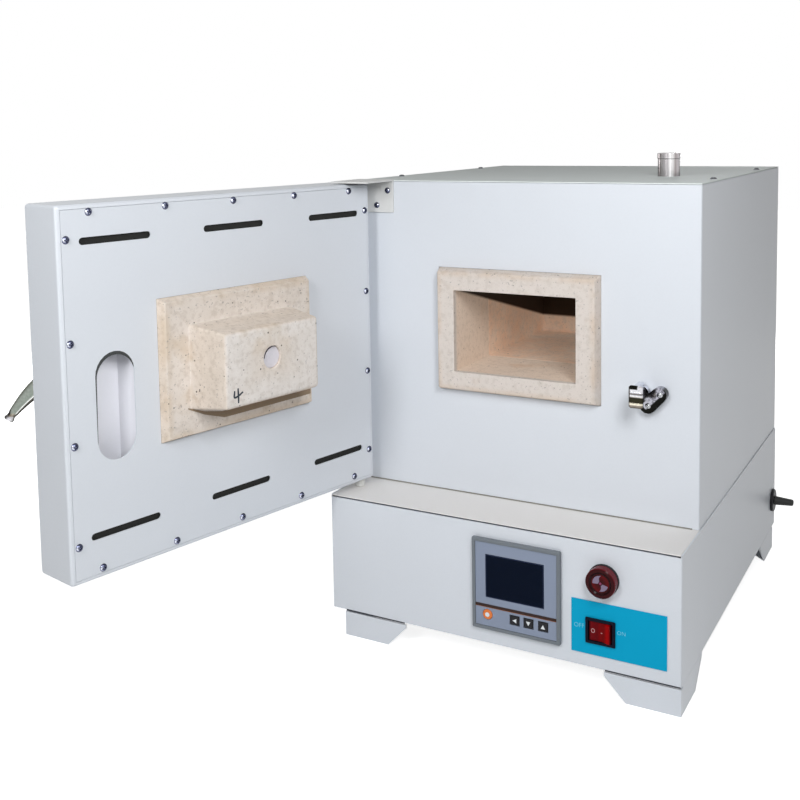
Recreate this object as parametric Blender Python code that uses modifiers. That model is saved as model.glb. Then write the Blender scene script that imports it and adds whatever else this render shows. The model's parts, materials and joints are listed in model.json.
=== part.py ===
"""Ashing furnace: a bench muffle furnace on a plinth, its side-hung door standing open.

Datum of every value below: X to the right, Y to the back, Z up, in metres. X is zero on the middle
of the casing, Y is zero on the casing's front face and Z is zero on the bench. The finished model is
then slid sideways, so that its origin is the middle of its footprint.
"""
import math

import bmesh
import bpy
from mathutils import Matrix, Vector

# Clearances and stock
GAP = 0.0003
WELD = 0.00001
OVERRUN = 0.004
SHEET = 0.0012
FLANGE = 0.012

# Casing, the upper box
CASING_WIDTH = 0.386
CASING_HEIGHT = 0.344
CASING_DEPTH = 0.410
CASING_FOLD_RADIUS = 0.0020
CASING_RAIL = 0.015

# Plinth under the casing
BASE_HEIGHT = 0.129
BASE_OVERHANG = 0.0012
LEDGE_DEPTH = 0.070
LEDGE_SEAM = 0.0016
BASE_FOLD_RADIUS = 0.0020

# Rear vents
VENT_LENGTH = 0.090
VENT_HEIGHT = 0.004
VENT_PITCH = 0.012
VENT_ROWS = 5
VENT_COLUMN_SPACING = 0.150
CASING_VENT_DROP = 0.060
BASE_VENT_RISE = 0.062

# Corner feet
FOOT_HEIGHT = 0.029
FOOT_SHEET = 0.002
FOOT_FRONT_TOP = 0.076
FOOT_FRONT_SOLE = 0.054
FOOT_SIDE_TOP = 0.081
FOOT_SIDE_SOLE = 0.055
FOOT_LIP = 0.004
FOOT_SEAM = 0.0022
FOOT_SEAM_DEPTH = 0.006
FOOT_PAD = 0.050
FOOT_LEFT_INSET = 0.016
FOOT_REAR_INSET = 0.012

# Chamber and its bricks
CHAMBER_SIDE_WALL = 0.124
CHAMBER_HEIGHT = 0.089
CHAMBER_RISE = 0.182
BRICK_WALL = 0.023
BRICK_FACE_INSET = 0.0035
BRICK_PROUD = 0.012
BRICK_DEPTH = 0.080
BRICK_EDGE = 0.0012
MUFFLE_DEPTH = 0.170

# Insulation and heaters
INSULATION_REAR_SPACE = 0.031
HEATER_DIAMETER = 0.006
HEATER_PITCH = 0.024
HEATER_RUNS = 7
HEATER_MARGIN = 0.012
HEATER_RECESS = 0.009

# Thermocouple
PROBE_DIAMETER = 0.008
PROBE_REACH = 0.022
PROBE_DROP = 0.020
PROBE_HEAD_DIAMETER = 0.030
PROBE_HEAD_DEPTH = 0.014
PROBE_TAIL = 0.006

# Flue
FLUE_INSET = 0.0705
FLUE_Y = 0.142
FLUE_OUTER_RADIUS = 0.0120
FLUE_WALL = 0.0015
FLUE_RISE = 0.0255
FLUE_BURIED = 0.034
FLUE_RIM_HEIGHT = 0.0065
FLUE_RIM_PROUD = 0.0005
FLUE_PIPE_RADIUS = 0.007
FLUE_PIPE_BORE = 0.005
FLUE_PORT_X = 0.050
FLUE_BEND = 0.018
FLUE_RUN_DROP = 0.0605

# Door
DOOR_LIFT = 0.0085
DOOR_TOP_DROP = 0.002
DOOR_THICKNESS = 0.051
DOOR_GAP = 0.021
DOOR_FOLD_RADIUS = 0.0035
DOOR_RIM = 0.0043
DOOR_RETURN = 0.012
PIVOT_INSET = 0.013
PIVOT_DEPTH = 0.010
OPEN_ANGLE = math.radians(102.5)

# Door panel slots: their ends as shares of the door's width, and their rise from its lower edge
SLOT_WIDTH = 0.0065
SLOT_SHARES = (0.0479, 0.2396, 0.4016, 0.5964, 0.7526, 0.9443)
SLOT_RISE = 0.0390

# Door brick and plug
PLATE_MARGIN = 0.0020
PLATE_FACE_INSET = 0.0035
PLATE_PROUD = 0.0085
PLATE_BURIED = 0.025
PLUG_SIDE_ROOM = 0.0038
PLUG_TOP_ROOM = 0.00395
PLUG_LENGTH = 0.0443
PLUG_SIDE_DRAFT = 0.0061
PLUG_TOP_DRAFT = 0.0049
PLUG_EDGE = 0.0035
PORT_RADIUS = 0.0110
PORT_DEPTH = 0.015
PORT_SIDE_SHIFT = 0.0017
PORT_RISE = 0.0048
STOPPER_THICKNESS = 0.0122

# Hinge
BRACKET_WIDTH = 0.046
BRACKET_DROP = 0.037
BRACKET_REACH = 0.058
BRACKET_SHEET = 0.002
BRACKET_STAND = 0.001
PIN_RADIUS = 0.004
PIN_LENGTH = 0.016
PIN_CHAMFER = 0.0008
COLLAR_RADIUS = 0.0055
BUSH_WALL = 0.0025
BUSH_LENGTH = 0.018

# Latch
POCKET_INSET = 0.0522
POCKET_WIDTH = 0.0405
POCKET_HEIGHT = 0.0982
POCKET_RISE = 0.1518
POCKET_DEPTH = 0.0220
POCKET_MARGIN = 0.008
POCKET_FOLD_SHARE = 0.45
POCKET_FOLD_SLOPE = 0.003
SPINDLE_INSET = 0.026
SPINDLE_RISE = 0.171
SPINDLE_RADIUS = 0.004
LATCH_OPEN_TURN = math.radians(50)
LEVER_ANGLE = math.radians(-52)
LEVER_REACH = 0.0416
LEVER_LIFT = 0.023
LEVER_ROOT_RADIUS = 0.0080
LEVER_TIP_RADIUS = 0.0037
LEVER_LIP_RADIUS = 0.0052
LEVER_LIP = 0.0025
LEVER_FLATTEN_SHARE = 0.72
HUB_RADIUS = 0.0115
HUB_HEIGHT = 0.012
HUB_CROWN_SHARE = 0.8
ROSE_RADIUS = 0.016
ROSE_HEIGHT = 0.003
TONGUE_WIDTH = 0.010
TONGUE_ROOT_SHARE = 0.65
TONGUE_REACH = 0.044
TONGUE_THICKNESS = 0.004
TONGUE_SETBACK = 0.004
TONGUE_LOCKED_ANGLE = math.radians(-121.5)
KEEPER_INSET = 0.0620
KEEPER_WIDTH = 0.0140
KEEPER_NECK_WIDTH = 0.0070
KEEPER_FOOT = 0.2830
KEEPER_HEIGHT = 0.0225
KEEPER_HEAD = 0.0045
KEEPER_REACH = 0.0340
KEEPER_EDGE = 0.0015
KEEPER_RIBS = 3
KEEPER_RIB_DEPTH = 0.0008
NECK_INSET_SHARE = 1.4
LINK_LOW_SHARE = 0.75
LINK_HIGH_SHARE = 0.6
LINK_THICKNESS_SHARE = 0.8
ARM_THICKNESS = 0.0085
ARM_LOW_RADIUS = 0.0085
ARM_HIGH_RADIUS = 0.0075
ARM_LOW_INSET = 0.0500
ARM_LOW_Z = 0.2810
ARM_HIGH_INSET = 0.0385
ARM_HIGH_Z = 0.2925
ARM_BORE = 0.0025
ARM_BORE_DEPTH = 0.003

# Controller
CONTROLLER_SIZE = 0.096
CONTROLLER_INSET = 0.1670
CONTROLLER_RISE = 0.0645
CONTROLLER_BEZEL = 0.0050
CONTROLLER_BORDER = 0.0038
CONTROLLER_BODY = 0.0908
CONTROLLER_BODY_DEPTH = 0.075
CONTROLLER_EDGE = 0.0010
CONTROLLER_RECESS = 0.0022
FACE_THICKNESS = 0.0014
SCREEN_WIDTH = 0.0632
SCREEN_HEIGHT = 0.0450
SCREEN_LEFT = 0.0155
SCREEN_DROP = 0.0163
KEY_SIZE = 0.0092
KEY_THICKNESS = 0.0024
KEY_PROUD = 0.0008
KEY_EDGE = 0.0006
KEY_DROP = 0.0800
KEY_CENTRES = (0.0473, 0.0623, 0.0780)
SET_KEY_CENTRE = 0.0174
SET_KEY_DROP = 0.0797
SET_KEY_RADIUS = 0.0053

# Alarm beacon
ALARM_INSET = 0.0757
ALARM_RISE = 0.0918
ALARM_RADIUS = 0.0155
ALARM_FLANGE = 0.003
ALARM_LENS_RADIUS = 0.0150
ALARM_LENS_HEIGHT = 0.0090
ALARM_BODY_RADIUS = 0.0135
ALARM_BODY_DEPTH = 0.030
ALARM_DISH_RADIUS = 0.0100
ALARM_DISH_DEPTH = 0.0012
ALARM_SLOT_INNER = 0.0030
ALARM_SLOT_OUTER = 0.0085
ALARM_SLOT_DEPTH = 0.0030
ALARM_SLOT_START = math.radians(95)
ALARM_SLOT_SWEEP = math.radians(58)
ALARM_TWIST_SHARE = 0.4

# Switch and its plate
PLATE_INSET = 0.0612
PLATE_RISE = 0.0405
PLATE_SIGN_WIDTH = 0.0950
PLATE_SIGN_HEIGHT = 0.0540
PLATE_SIGN_THICKNESS = 0.0006
SWITCH_INSET = 0.0788
SWITCH_RISE = 0.0385
SWITCH_WIDTH = 0.0302
SWITCH_HEIGHT = 0.0260
SWITCH_RIM = 0.0020
SWITCH_RIM_THICKNESS = 0.0020
SWITCH_BODY_DEPTH = 0.025
SWITCH_EDGE = 0.0006
ROCKER_TILT = math.radians(10)
ROCKER_CREASE = math.radians(11)
ROCKER_THICKNESS = 0.0065
ROCKER_DEPTH = 0.0012
ROCKER_FOOT_SHARE = 0.92

# Cable gland on the right side
GLAND_REAR_INSET = 0.0200
GLAND_RISE = 0.0370
GLAND_RADIUS = 0.0145
GLAND_FLANGE = 0.0036
GLAND_NECK_RADIUS = 0.0085
GLAND_NUT_DEPTH = 0.010
BOOT_ROOT_RADIUS = 0.0058
BOOT_TIP_RADIUS = 0.0042
BOOT_LENGTH = 0.0230
BOOT_BORE = 0.0022
BOOT_BORE_DEPTH = 0.004

# Power parts on the plinth's floor
RELAY_SIZE = (0.058, 0.045, 0.030)
RELAY_PLACE = (-0.110, 0.180)
RELAY_FIN_COUNT = 6
RELAY_FIN_DEPTH = 0.010
RELAY_FIN_GAP = 0.004
TERMINAL_SIZE = (0.090, 0.022, 0.018)
TERMINAL_PLACE = (0.090, 0.300)
TERMINAL_WAYS = 6
TERMINAL_SLOT = 0.008
FLOOR_SLOT_LENGTH = 0.070
FLOOR_SLOT_WIDTH = 0.005
FLOOR_SLOT_PITCH = 0.020
FLOOR_SLOT_COUNT = 5
FLOOR_SLOT_Y = 0.130

# Facets of round pieces
FINE_STEPS = 32
ROUND_STEPS = 24
SMALL_STEPS = 16

# Places that follow from the sizes above
LEDGE_Z = FOOT_HEIGHT + BASE_HEIGHT
CASING_Z = LEDGE_Z + GAP
TOP_Z = LEDGE_Z + CASING_HEIGHT
CASING_HALF = CASING_WIDTH / 2
BASE_HALF = CASING_HALF + BASE_OVERHANG
CHAMBER_Z = LEDGE_Z + CHAMBER_RISE
CHAMBER_WIDTH = CASING_WIDTH - 2 * CHAMBER_SIDE_WALL
BRICK_WIDTH = CHAMBER_WIDTH + 2 * BRICK_WALL
BRICK_HEIGHT = CHAMBER_HEIGHT + 2 * BRICK_WALL
MUFFLE_Y = BRICK_DEPTH + GAP
CHAMBER_BACK = MUFFLE_Y + MUFFLE_DEPTH
MUFFLE_BACK = CHAMBER_BACK + BRICK_WALL
BOARD_HALF = CASING_HALF - 2 * (SHEET + GAP)
BOARD_Y = 2 * (SHEET + GAP)
BOARD_BACK = CASING_DEPTH - INSULATION_REAR_SPACE
FLUE_X = CASING_HALF - FLUE_INSET
GLAND_Y = CASING_DEPTH - GLAND_REAR_INSET
PROBE_Z = CHAMBER_Z + PROBE_DROP
DOOR_WIDTH = CASING_WIDTH
DOOR_Z = LEDGE_Z + DOOR_LIFT
DOOR_TOP = TOP_Z - DOOR_TOP_DROP
DOOR_HEIGHT = DOOR_TOP - DOOR_Z
PIVOT_X = -CASING_HALF + PIVOT_INSET
PIVOT_Y = -DOOR_GAP - PIVOT_DEPTH
PLATE_CENTRE = CASING_HALF
PLATE_WIDTH = BRICK_WIDTH + 2 * PLATE_MARGIN
PLATE_HEIGHT = BRICK_HEIGHT
PLUG_WIDTH = CHAMBER_WIDTH - 2 * PLUG_SIDE_ROOM
PLUG_HEIGHT = CHAMBER_HEIGHT - 2 * PLUG_TOP_ROOM
POCKET_CENTRE = DOOR_WIDTH - POCKET_INSET
SPINDLE_U = DOOR_WIDTH - SPINDLE_INSET
SPINDLE_Z = DOOR_Z + SPINDLE_RISE
POCKET_Z = DOOR_Z + POCKET_RISE
BRACKET_TOP = TOP_Z + BRACKET_STAND
KEEPER_LEFT = CASING_HALF - KEEPER_INSET
ARM_LOW_X = CASING_HALF - ARM_LOW_INSET
ARM_HIGH_X = CASING_HALF - ARM_HIGH_INSET
CONTROLLER_X = BASE_HALF - CONTROLLER_INSET
ALARM_X = BASE_HALF - ALARM_INSET
PLATE_X = BASE_HALF - PLATE_INSET
SWITCH_X = BASE_HALF - SWITCH_INSET
PANEL_BACK = SHEET + GAP
FACE_Y = -LEDGE_DEPTH
CONTROLLER_Z = FOOT_HEIGHT + CONTROLLER_RISE
SWITCH_Z = FOOT_HEIGHT + SWITCH_RISE
SWITCH_FACE_Y = FACE_Y - GAP - PLATE_SIGN_THICKNESS - GAP


def clear_scene():
    """Removes every object, so that the model starts from nothing."""
    for old in list(bpy.data.objects):
        bpy.data.objects.remove(old, do_unlink=True)


def new_collection(name):
    """Makes a collection under the scene's own."""
    made = bpy.data.collections.new(name)
    bpy.context.scene.collection.children.link(made)
    return made


clear_scene()
PARTS = new_collection("ashing_furnace")
CUTTERS = new_collection("cutters")


def finish(name, colour, roughness, metallic=0.0):
    """Makes a plain material of one colour."""
    made = bpy.data.materials.new(name)
    made.use_nodes = True
    shader = made.node_tree.nodes["Principled BSDF"]
    shader.inputs["Base Color"].default_value = (*colour, 1.0)
    shader.inputs["Roughness"].default_value = roughness
    shader.inputs["Metallic"].default_value = metallic
    made.diffuse_color = (*colour, 1.0)
    return made


WHITE_PAINT = ("white_paint", (0.80, 0.82, 0.86), 0.35, 0.0)
DOOR_PAINT = ("door_paint", (0.78, 0.81, 0.86), 0.35, 0.0)
GREY_PAINT = ("grey_paint", (0.62, 0.64, 0.64), 0.40, 0.0)
FIREBRICK = ("firebrick", (0.78, 0.70, 0.60), 0.95, 0.0)
FIRED_CLAY = ("fired_clay", (0.62, 0.45, 0.33), 0.95, 0.0)
FIBRE_BOARD = ("fibre_board", (0.85, 0.84, 0.80), 1.0, 0.0)
WHITE_FIBRE = ("white_fibre", (0.86, 0.85, 0.86), 1.0, 0.0)
HEATER_WIRE = ("heater_wire", (0.30, 0.27, 0.25), 0.6, 1.0)
STAINLESS = ("stainless", (0.62, 0.62, 0.60), 0.25, 1.0)
CHROME = ("chrome", (0.75, 0.76, 0.78), 0.10, 1.0)
ZINC = ("zinc_steel", (0.55, 0.57, 0.62), 0.35, 1.0)
BRASS = ("brass", (0.72, 0.56, 0.25), 0.30, 1.0)
BLACK_PLASTIC = ("black_plastic", (0.02, 0.02, 0.025), 0.45, 0.0)
BEZEL_GREY = ("bezel_grey", (0.16, 0.17, 0.19), 0.5, 0.0)
FACE_GREY = ("face_grey", (0.25, 0.28, 0.35), 0.45, 0.0)
SCREEN_BLUE = ("screen_blue", (0.006, 0.012, 0.03), 0.12, 0.0)
KEY_ORANGE = ("key_orange", (0.85, 0.30, 0.05), 0.40, 0.0)
ALARM_RED = ("alarm_red", (0.22, 0.01, 0.015), 0.20, 0.0)
ROCKER_RED = ("rocker_red", (0.55, 0.01, 0.01), 0.25, 0.0)
TEAL = ("teal_sign", (0.0, 0.36, 0.56), 0.45, 0.0)
RUBBER = ("black_rubber", (0.015, 0.015, 0.015), 0.7, 0.0)
ALUMINIUM = ("aluminium", (0.70, 0.71, 0.72), 0.4, 1.0)


def place(name, mesh, look, parent, centre, cutter=False):
    """Makes the object of a mesh, hung on its parent with its own material."""
    made = bpy.data.objects.new(name, mesh)
    made.parent = parent
    made.location = centre
    if cutter:
        CUTTERS.objects.link(made)
        made.hide_render = True
        made.display_type = "WIRE"
        return made
    PARTS.objects.link(made)
    mesh.materials.append(finish(name + "_" + look[0], *look[1:]))
    return made


def mesh_of(name, bm):
    """Turns a bmesh into a mesh with its faces pointing out."""
    bmesh.ops.recalc_face_normals(bm, faces=bm.faces)
    mesh = bpy.data.meshes.new(name)
    bm.to_mesh(mesh)
    bm.free()
    return mesh


def cube_bmesh(size):
    """A box of the given size, centred on its own origin."""
    bm = bmesh.new()
    bmesh.ops.create_cube(bm, size=1.0, matrix=Matrix.Diagonal((*size, 1.0)))
    return bm


def corners(lo, hi):
    """Size and centre of the box between two corners."""
    lo, hi = Vector(lo), Vector(hi)
    return hi - lo, (lo + hi) / 2


def add_bevel(made, width, segments=1):
    """Rounds or chamfers the sharp edges of a piece."""
    modifier = made.modifiers.new("edge", "BEVEL")
    modifier.width = width
    modifier.segments = segments
    modifier.limit_method = "ANGLE"
    modifier.angle_limit = math.radians(40)
    return modifier


def block(name, lo, hi, look, parent, edge=0.0):
    """A solid block between two corners, with its edges broken."""
    size, centre = corners(lo, hi)
    made = place(name, mesh_of(name, cube_bmesh(size)), look, parent, centre)
    if edge:
        add_bevel(made, edge)
    return made


def box_cutter(name, lo, hi, parent):
    """A box that is cut away from a piece."""
    size, centre = corners(lo, hi)
    return place(name, mesh_of(name, cube_bmesh(size)), None, parent, centre, cutter=True)


def combine(target, tool, operation):
    """Cuts a tool from a piece, or joins it to the piece."""
    modifier = target.modifiers.new(operation.lower(), "BOOLEAN")
    modifier.operation = operation
    modifier.solver = "EXACT"
    modifier.object = tool
    return modifier


def cut(target, *tools):
    """Cuts each tool away from a piece."""
    for tool in tools:
        combine(target, tool, "DIFFERENCE")


def join(target, *tools):
    """Joins each tool to a piece."""
    for tool in tools:
        combine(target, tool, "UNION")


def faces_towards(bm, directions):
    """The faces of a box that look along any of the given directions."""
    wanted = [Vector(direction) for direction in directions]
    return [face for face in bm.faces if any(face.normal.dot(way) > 0.99 for way in wanted)]


def solidify(made, thickness):
    """Gives an open sheet its thickness, grown inwards from its outer face."""
    modifier = made.modifiers.new("sheet", "SOLIDIFY")
    modifier.thickness = thickness
    modifier.offset = -1.0
    modifier.use_even_offset = True
    modifier.use_quality_normals = True
    return modifier


def folded_box(name, lo, hi, open_sides, look, parent, thickness=SHEET):
    """A box folded from sheet with some sides left open."""
    size, centre = corners(lo, hi)
    bm = cube_bmesh(size)
    bm.normal_update()
    bmesh.ops.delete(bm, geom=faces_towards(bm, open_sides), context="FACES_ONLY")
    loose = [edge for edge in bm.edges if not edge.link_faces]
    bmesh.ops.delete(bm, geom=loose, context="EDGES")
    mesh = bpy.data.meshes.new(name)
    bm.to_mesh(mesh)
    bm.free()
    made = place(name, mesh, look, parent, centre)
    solidify(made, thickness)
    return made


def turned_mesh(name, profile, steps, axis="Z"):
    """A piece turned on the lathe: a profile of (radius, height) points, run from top to bottom."""
    mesh = bpy.data.meshes.new(name + "_profile")
    points = [(radius, 0.0, height) for radius, height in profile]
    mesh.from_pydata(points, [(i, i + 1) for i in range(len(points) - 1)], [])
    guide = bpy.data.objects.new(name + "_profile", mesh)
    CUTTERS.objects.link(guide)
    modifier = guide.modifiers.new("turn", "SCREW")
    modifier.axis = "Z"
    modifier.steps = steps
    modifier.render_steps = steps
    modifier.use_merge_vertices = True
    modifier.merge_threshold = WELD
    bpy.context.view_layer.update()
    evaluated = guide.evaluated_get(bpy.context.evaluated_depsgraph_get())
    made = bpy.data.meshes.new_from_object(evaluated)
    bpy.data.objects.remove(guide, do_unlink=True)
    turns = {
        "Z": Matrix.Identity(4),
        "X": Matrix.Rotation(math.radians(90), 4, "Y"),
        "-Y": Matrix.Rotation(math.radians(90), 4, "X"),
    }
    made.transform(turns[axis])
    made.name = name
    bm = bmesh.new()
    bm.from_mesh(made)
    bmesh.ops.remove_doubles(bm, verts=bm.verts, dist=WELD)
    bm.to_mesh(made)
    bm.free()
    made.shade_smooth()
    made.set_sharp_from_angle(angle=math.radians(35))
    return made


def turned(name, profile, look, parent, centre, steps=ROUND_STEPS, axis="Z"):
    """A turned piece as an object. Its profile's height runs along the named axis."""
    return place(name, turned_mesh(name, profile, steps, axis), look, parent, centre)


def rod_profile(radius, top, bottom):
    """Profile of a plain rod."""
    return [(0.0, top), (radius, top), (radius, bottom), (0.0, bottom)]


def tube_profile(outer, inner, top, bottom):
    """Profile of a plain tube, a closed loop."""
    return [(outer, top), (outer, bottom), (inner, bottom), (inner, top), (outer, top)]


def round_cutter(name, radius, top, bottom, parent, centre, axis="Z", steps=ROUND_STEPS):
    """A cylinder that is cut away from a piece."""
    mesh = turned_mesh(name, rod_profile(radius, top, bottom), steps, axis)
    return place(name, mesh, None, parent, centre, cutter=True)


def arc(centre, radius, start, end, steps):
    """Points on an arc, both ends included."""
    angles = [start + (end - start) * i / steps for i in range(steps + 1)]
    return [(centre[0] + radius * math.cos(a), centre[1] + radius * math.sin(a)) for a in angles]


def curve_mesh(curve, place_matrix=Matrix.Identity(4)):
    """Turns a curve into a closed mesh."""
    guide = bpy.data.objects.new("guide", curve)
    CUTTERS.objects.link(guide)
    bpy.context.view_layer.update()
    evaluated = guide.evaluated_get(bpy.context.evaluated_depsgraph_get())
    made = bpy.data.meshes.new_from_object(evaluated)
    bpy.data.objects.remove(guide, do_unlink=True)
    made.transform(place_matrix)
    bm = bmesh.new()
    bm.from_mesh(made)
    bmesh.ops.remove_doubles(bm, verts=bm.verts, dist=WELD)
    bmesh.ops.recalc_face_normals(bm, faces=bm.faces)
    bm.to_mesh(made)
    bm.free()
    return made


def outline_mesh(name, points, thickness):
    """A flat plate with the given outline, lying in its XZ plane with its middle at Y zero."""
    curve = bpy.data.curves.new(name, "CURVE")
    curve.dimensions = "2D"
    curve.fill_mode = "BOTH"
    curve.extrude = thickness / 2
    spline = curve.splines.new("POLY")
    spline.points.add(len(points) - 1)
    for point, (x, z) in zip(spline.points, points):
        point.co = (x, z, 0.0, 1.0)
    spline.use_cyclic_u = True
    made = curve_mesh(curve, Matrix.Rotation(math.radians(90), 4, "X"))
    made.name = name
    return made


def outline_plate(name, points, thickness, look, parent, centre):
    """A flat plate of sheet or bar in the XZ plane."""
    return place(name, outline_mesh(name, points, thickness), look, parent, centre)


def outline_cutter(name, points, thickness, parent, centre):
    """A flat shape that is cut away from a piece."""
    return place(name, outline_mesh(name, points, thickness), None, parent, centre, cutter=True)


def wrap_sheet(name, half, front, back, low, high, fold, look, parent):
    """Front and two sides folded from one sheet, open to the rear, its two upright folds rounded."""
    inner_fold = fold - SHEET
    outer = [(-half, back)]
    outer += arc((-half + fold, front + fold), fold, math.pi, 1.5 * math.pi, 3)
    outer += arc((half - fold, front + fold), fold, 1.5 * math.pi, 2 * math.pi, 3)
    outer += [(half, back), (half - SHEET, back)]
    inner = arc((half - fold, front + fold), inner_fold, 2 * math.pi, 1.5 * math.pi, 3)
    inner += arc((-half + fold, front + fold), inner_fold, 1.5 * math.pi, math.pi, 3)
    mesh = outline_mesh(name, outer + inner + [(-half + SHEET, back)], high - low)
    mesh.transform(Matrix.Rotation(math.radians(-90), 4, "X"))
    return place(name, mesh, look, parent, (0.0, 0.0, (low + high) / 2))


def obround(width, height, steps):
    """Outline of an upright slot with round ends, about its own centre."""
    radius = width / 2
    straight = height / 2 - radius
    return (arc((0.0, straight), radius, 0.0, math.pi, steps)
            + arc((0.0, -straight), radius, math.pi, 2 * math.pi, steps))


def capsule(start, end, start_radius, end_radius, steps):
    """Outline of a bar with two round ends of unlike radius, joined by their tangents."""
    run = Vector(end) - Vector(start)
    heading = math.atan2(run.y, run.x)
    lean = math.acos((start_radius - end_radius) / run.length)
    return (arc(end, end_radius, heading - lean, heading + lean, steps)
            + arc(start, start_radius, heading + lean, heading + 2 * math.pi - lean, steps))


def wire_mesh(name, points, radii, resolution=2):
    """A round bar along points, with a radius at each one."""
    curve = bpy.data.curves.new(name, "CURVE")
    curve.dimensions = "3D"
    curve.bevel_depth = 1.0
    curve.bevel_resolution = resolution
    curve.use_fill_caps = True
    spline = curve.splines.new("POLY")
    spline.points.add(len(points) - 1)
    for point, where, radius in zip(spline.points, points, radii):
        point.co = (*where, 1.0)
        point.radius = radius
    made = curve_mesh(curve)
    made.name = name
    return made


def raise_face(bm, face, height, inset_x, inset_z):
    """Draws a face of a block outwards, narrowing it on each side as it goes."""
    grown = bmesh.ops.extrude_discrete_faces(bm, faces=[face])["faces"][0]
    middle = grown.calc_center_median()
    for vert in grown.verts:
        vert.co += grown.normal * height
        vert.co.x -= math.copysign(inset_x, vert.co.x - middle.x)
        vert.co.z -= math.copysign(inset_z, vert.co.z - middle.z)
    return grown


def shrink_face(bm, face, inset_x, inset_z):
    """Draws a smaller face inside a face, in the same plane."""
    return raise_face(bm, face, 0.0, inset_x, inset_z)


# Casing

def make_casing(root):
    """The four sheets of the upper box, with the openings for the brick, the flue and the vents."""
    wrap = casing_wrap(root)
    casing_floor(root)
    casing_top(root)
    casing_rear(root)
    return wrap


def casing_wrap(root):
    """Front and both sides folded from one sheet, with a rail turned in along the top."""
    high = TOP_Z - SHEET - GAP
    wrap = wrap_sheet("casing_wrap", CASING_HALF, 0.0, CASING_DEPTH, CASING_Z, high, CASING_FOLD_RADIUS,
                      WHITE_PAINT, root)
    side = CASING_HALF - SHEET / 2
    inner = side - CASING_RAIL
    rail = box_cutter("top_rail", (-side, SHEET / 2, high - SHEET), (side, CASING_DEPTH - SHEET - GAP, high),
                      root)
    cut(rail, box_cutter("rail_space", (-inner, CASING_RAIL, high - SHEET - OVERRUN),
                         (inner, CASING_DEPTH - CASING_RAIL, high + OVERRUN), root))
    join(wrap, rail)
    half_width = BRICK_WIDTH / 2 + GAP
    half_height = BRICK_HEIGHT / 2 + GAP
    cut(wrap, box_cutter("brick_hole", (-half_width, -OVERRUN, CHAMBER_Z - half_height),
                         (half_width, SHEET + OVERRUN, CHAMBER_Z + half_height), root))
    return wrap


def casing_floor(root):
    """Floor tray of the casing, its flanges turned up against the wrap."""
    side = CASING_HALF - SHEET - GAP
    folded_box("casing_floor", (-side, SHEET + GAP, CASING_Z),
               (side, CASING_DEPTH - SHEET - GAP, CASING_Z + FLANGE), [(0, 0, 1)], GREY_PAINT, root)


def casing_top(root):
    """Flat top cover, with the hole for the flue."""
    top = block("casing_top", (-CASING_HALF, 0.0, TOP_Z - SHEET), (CASING_HALF, CASING_DEPTH, TOP_Z),
                WHITE_PAINT, root)
    cut(top, round_cutter("flue_hole", FLUE_OUTER_RADIUS + GAP, OVERRUN, -SHEET - OVERRUN, root,
                          (FLUE_X, FLUE_Y, TOP_Z), steps=FINE_STEPS))


def vent_cutters(name, root, face_y, centre_z):
    """Two columns of level slots through a rear panel."""
    tools = []
    for column in (-1, 1):
        for row in range(VENT_ROWS):
            x = column * VENT_COLUMN_SPACING / 2
            z = centre_z + (row - (VENT_ROWS - 1) / 2) * VENT_PITCH
            tools.append(box_cutter(
                "%s_%d_%d" % (name, column, row),
                (x - VENT_LENGTH / 2, face_y - SHEET - OVERRUN, z - VENT_HEIGHT / 2),
                (x + VENT_LENGTH / 2, face_y + OVERRUN, z + VENT_HEIGHT / 2), root))
    return tools


def casing_rear(root):
    """Rear panel of the casing, let in between the sides, with cooling slots near its top."""
    side = CASING_HALF - SHEET - GAP
    top = TOP_Z - 2 * (SHEET + GAP)
    rear = block("casing_rear", (-side, CASING_DEPTH - SHEET, CASING_Z), (side, CASING_DEPTH, top),
                 WHITE_PAINT, root)
    cut(rear, *vent_cutters("casing_vent", root, CASING_DEPTH, top - CASING_VENT_DROP))


# Plinth

def make_base(root):
    """The plinth: front and side sheet, ledge, floor, rear panel and four feet."""
    shell = base_shell(root)
    base_top(root)
    base_floor(root)
    base_rear(root)
    for side in (-1, 1):
        for end in (-1, 1):
            foot(root, side, end)
    return shell


def base_shell(root):
    """Front and both sides of the plinth in one folded sheet, cut for the fittings."""
    shell = wrap_sheet("base_shell", BASE_HALF, FACE_Y, CASING_DEPTH, FOOT_HEIGHT, LEDGE_Z, BASE_FOLD_RADIUS,
                       WHITE_PAINT, root)
    inside = BASE_HALF - SHEET
    body = CONTROLLER_BODY / 2 + GAP
    switch_x = SWITCH_WIDTH / 2 - SWITCH_RIM + GAP
    switch_z = SWITCH_HEIGHT / 2 - SWITCH_RIM + GAP
    back = FACE_Y + SHEET + OVERRUN
    cut(shell,
        box_cutter("ledge_seam", (-inside, FACE_Y - OVERRUN, LEDGE_Z - SHEET - LEDGE_SEAM),
                   (inside, back, LEDGE_Z + OVERRUN), root),
        box_cutter("controller_hole", (CONTROLLER_X - body, FACE_Y - OVERRUN, CONTROLLER_Z - body),
                   (CONTROLLER_X + body, back, CONTROLLER_Z + body), root),
        box_cutter("switch_hole", (SWITCH_X - switch_x, FACE_Y - OVERRUN, SWITCH_Z - switch_z),
                   (SWITCH_X + switch_x, back, SWITCH_Z + switch_z), root),
        round_cutter("alarm_hole", ALARM_BODY_RADIUS + GAP, OVERRUN, -SHEET - OVERRUN, root,
                     (ALARM_X, FACE_Y, FOOT_HEIGHT + ALARM_RISE), axis="-Y"),
        round_cutter("gland_hole", GLAND_NECK_RADIUS + GAP, OVERRUN, -SHEET - OVERRUN, root,
                     (BASE_HALF, GLAND_Y, FOOT_HEIGHT + GLAND_RISE), axis="X"))
    return shell


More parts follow.
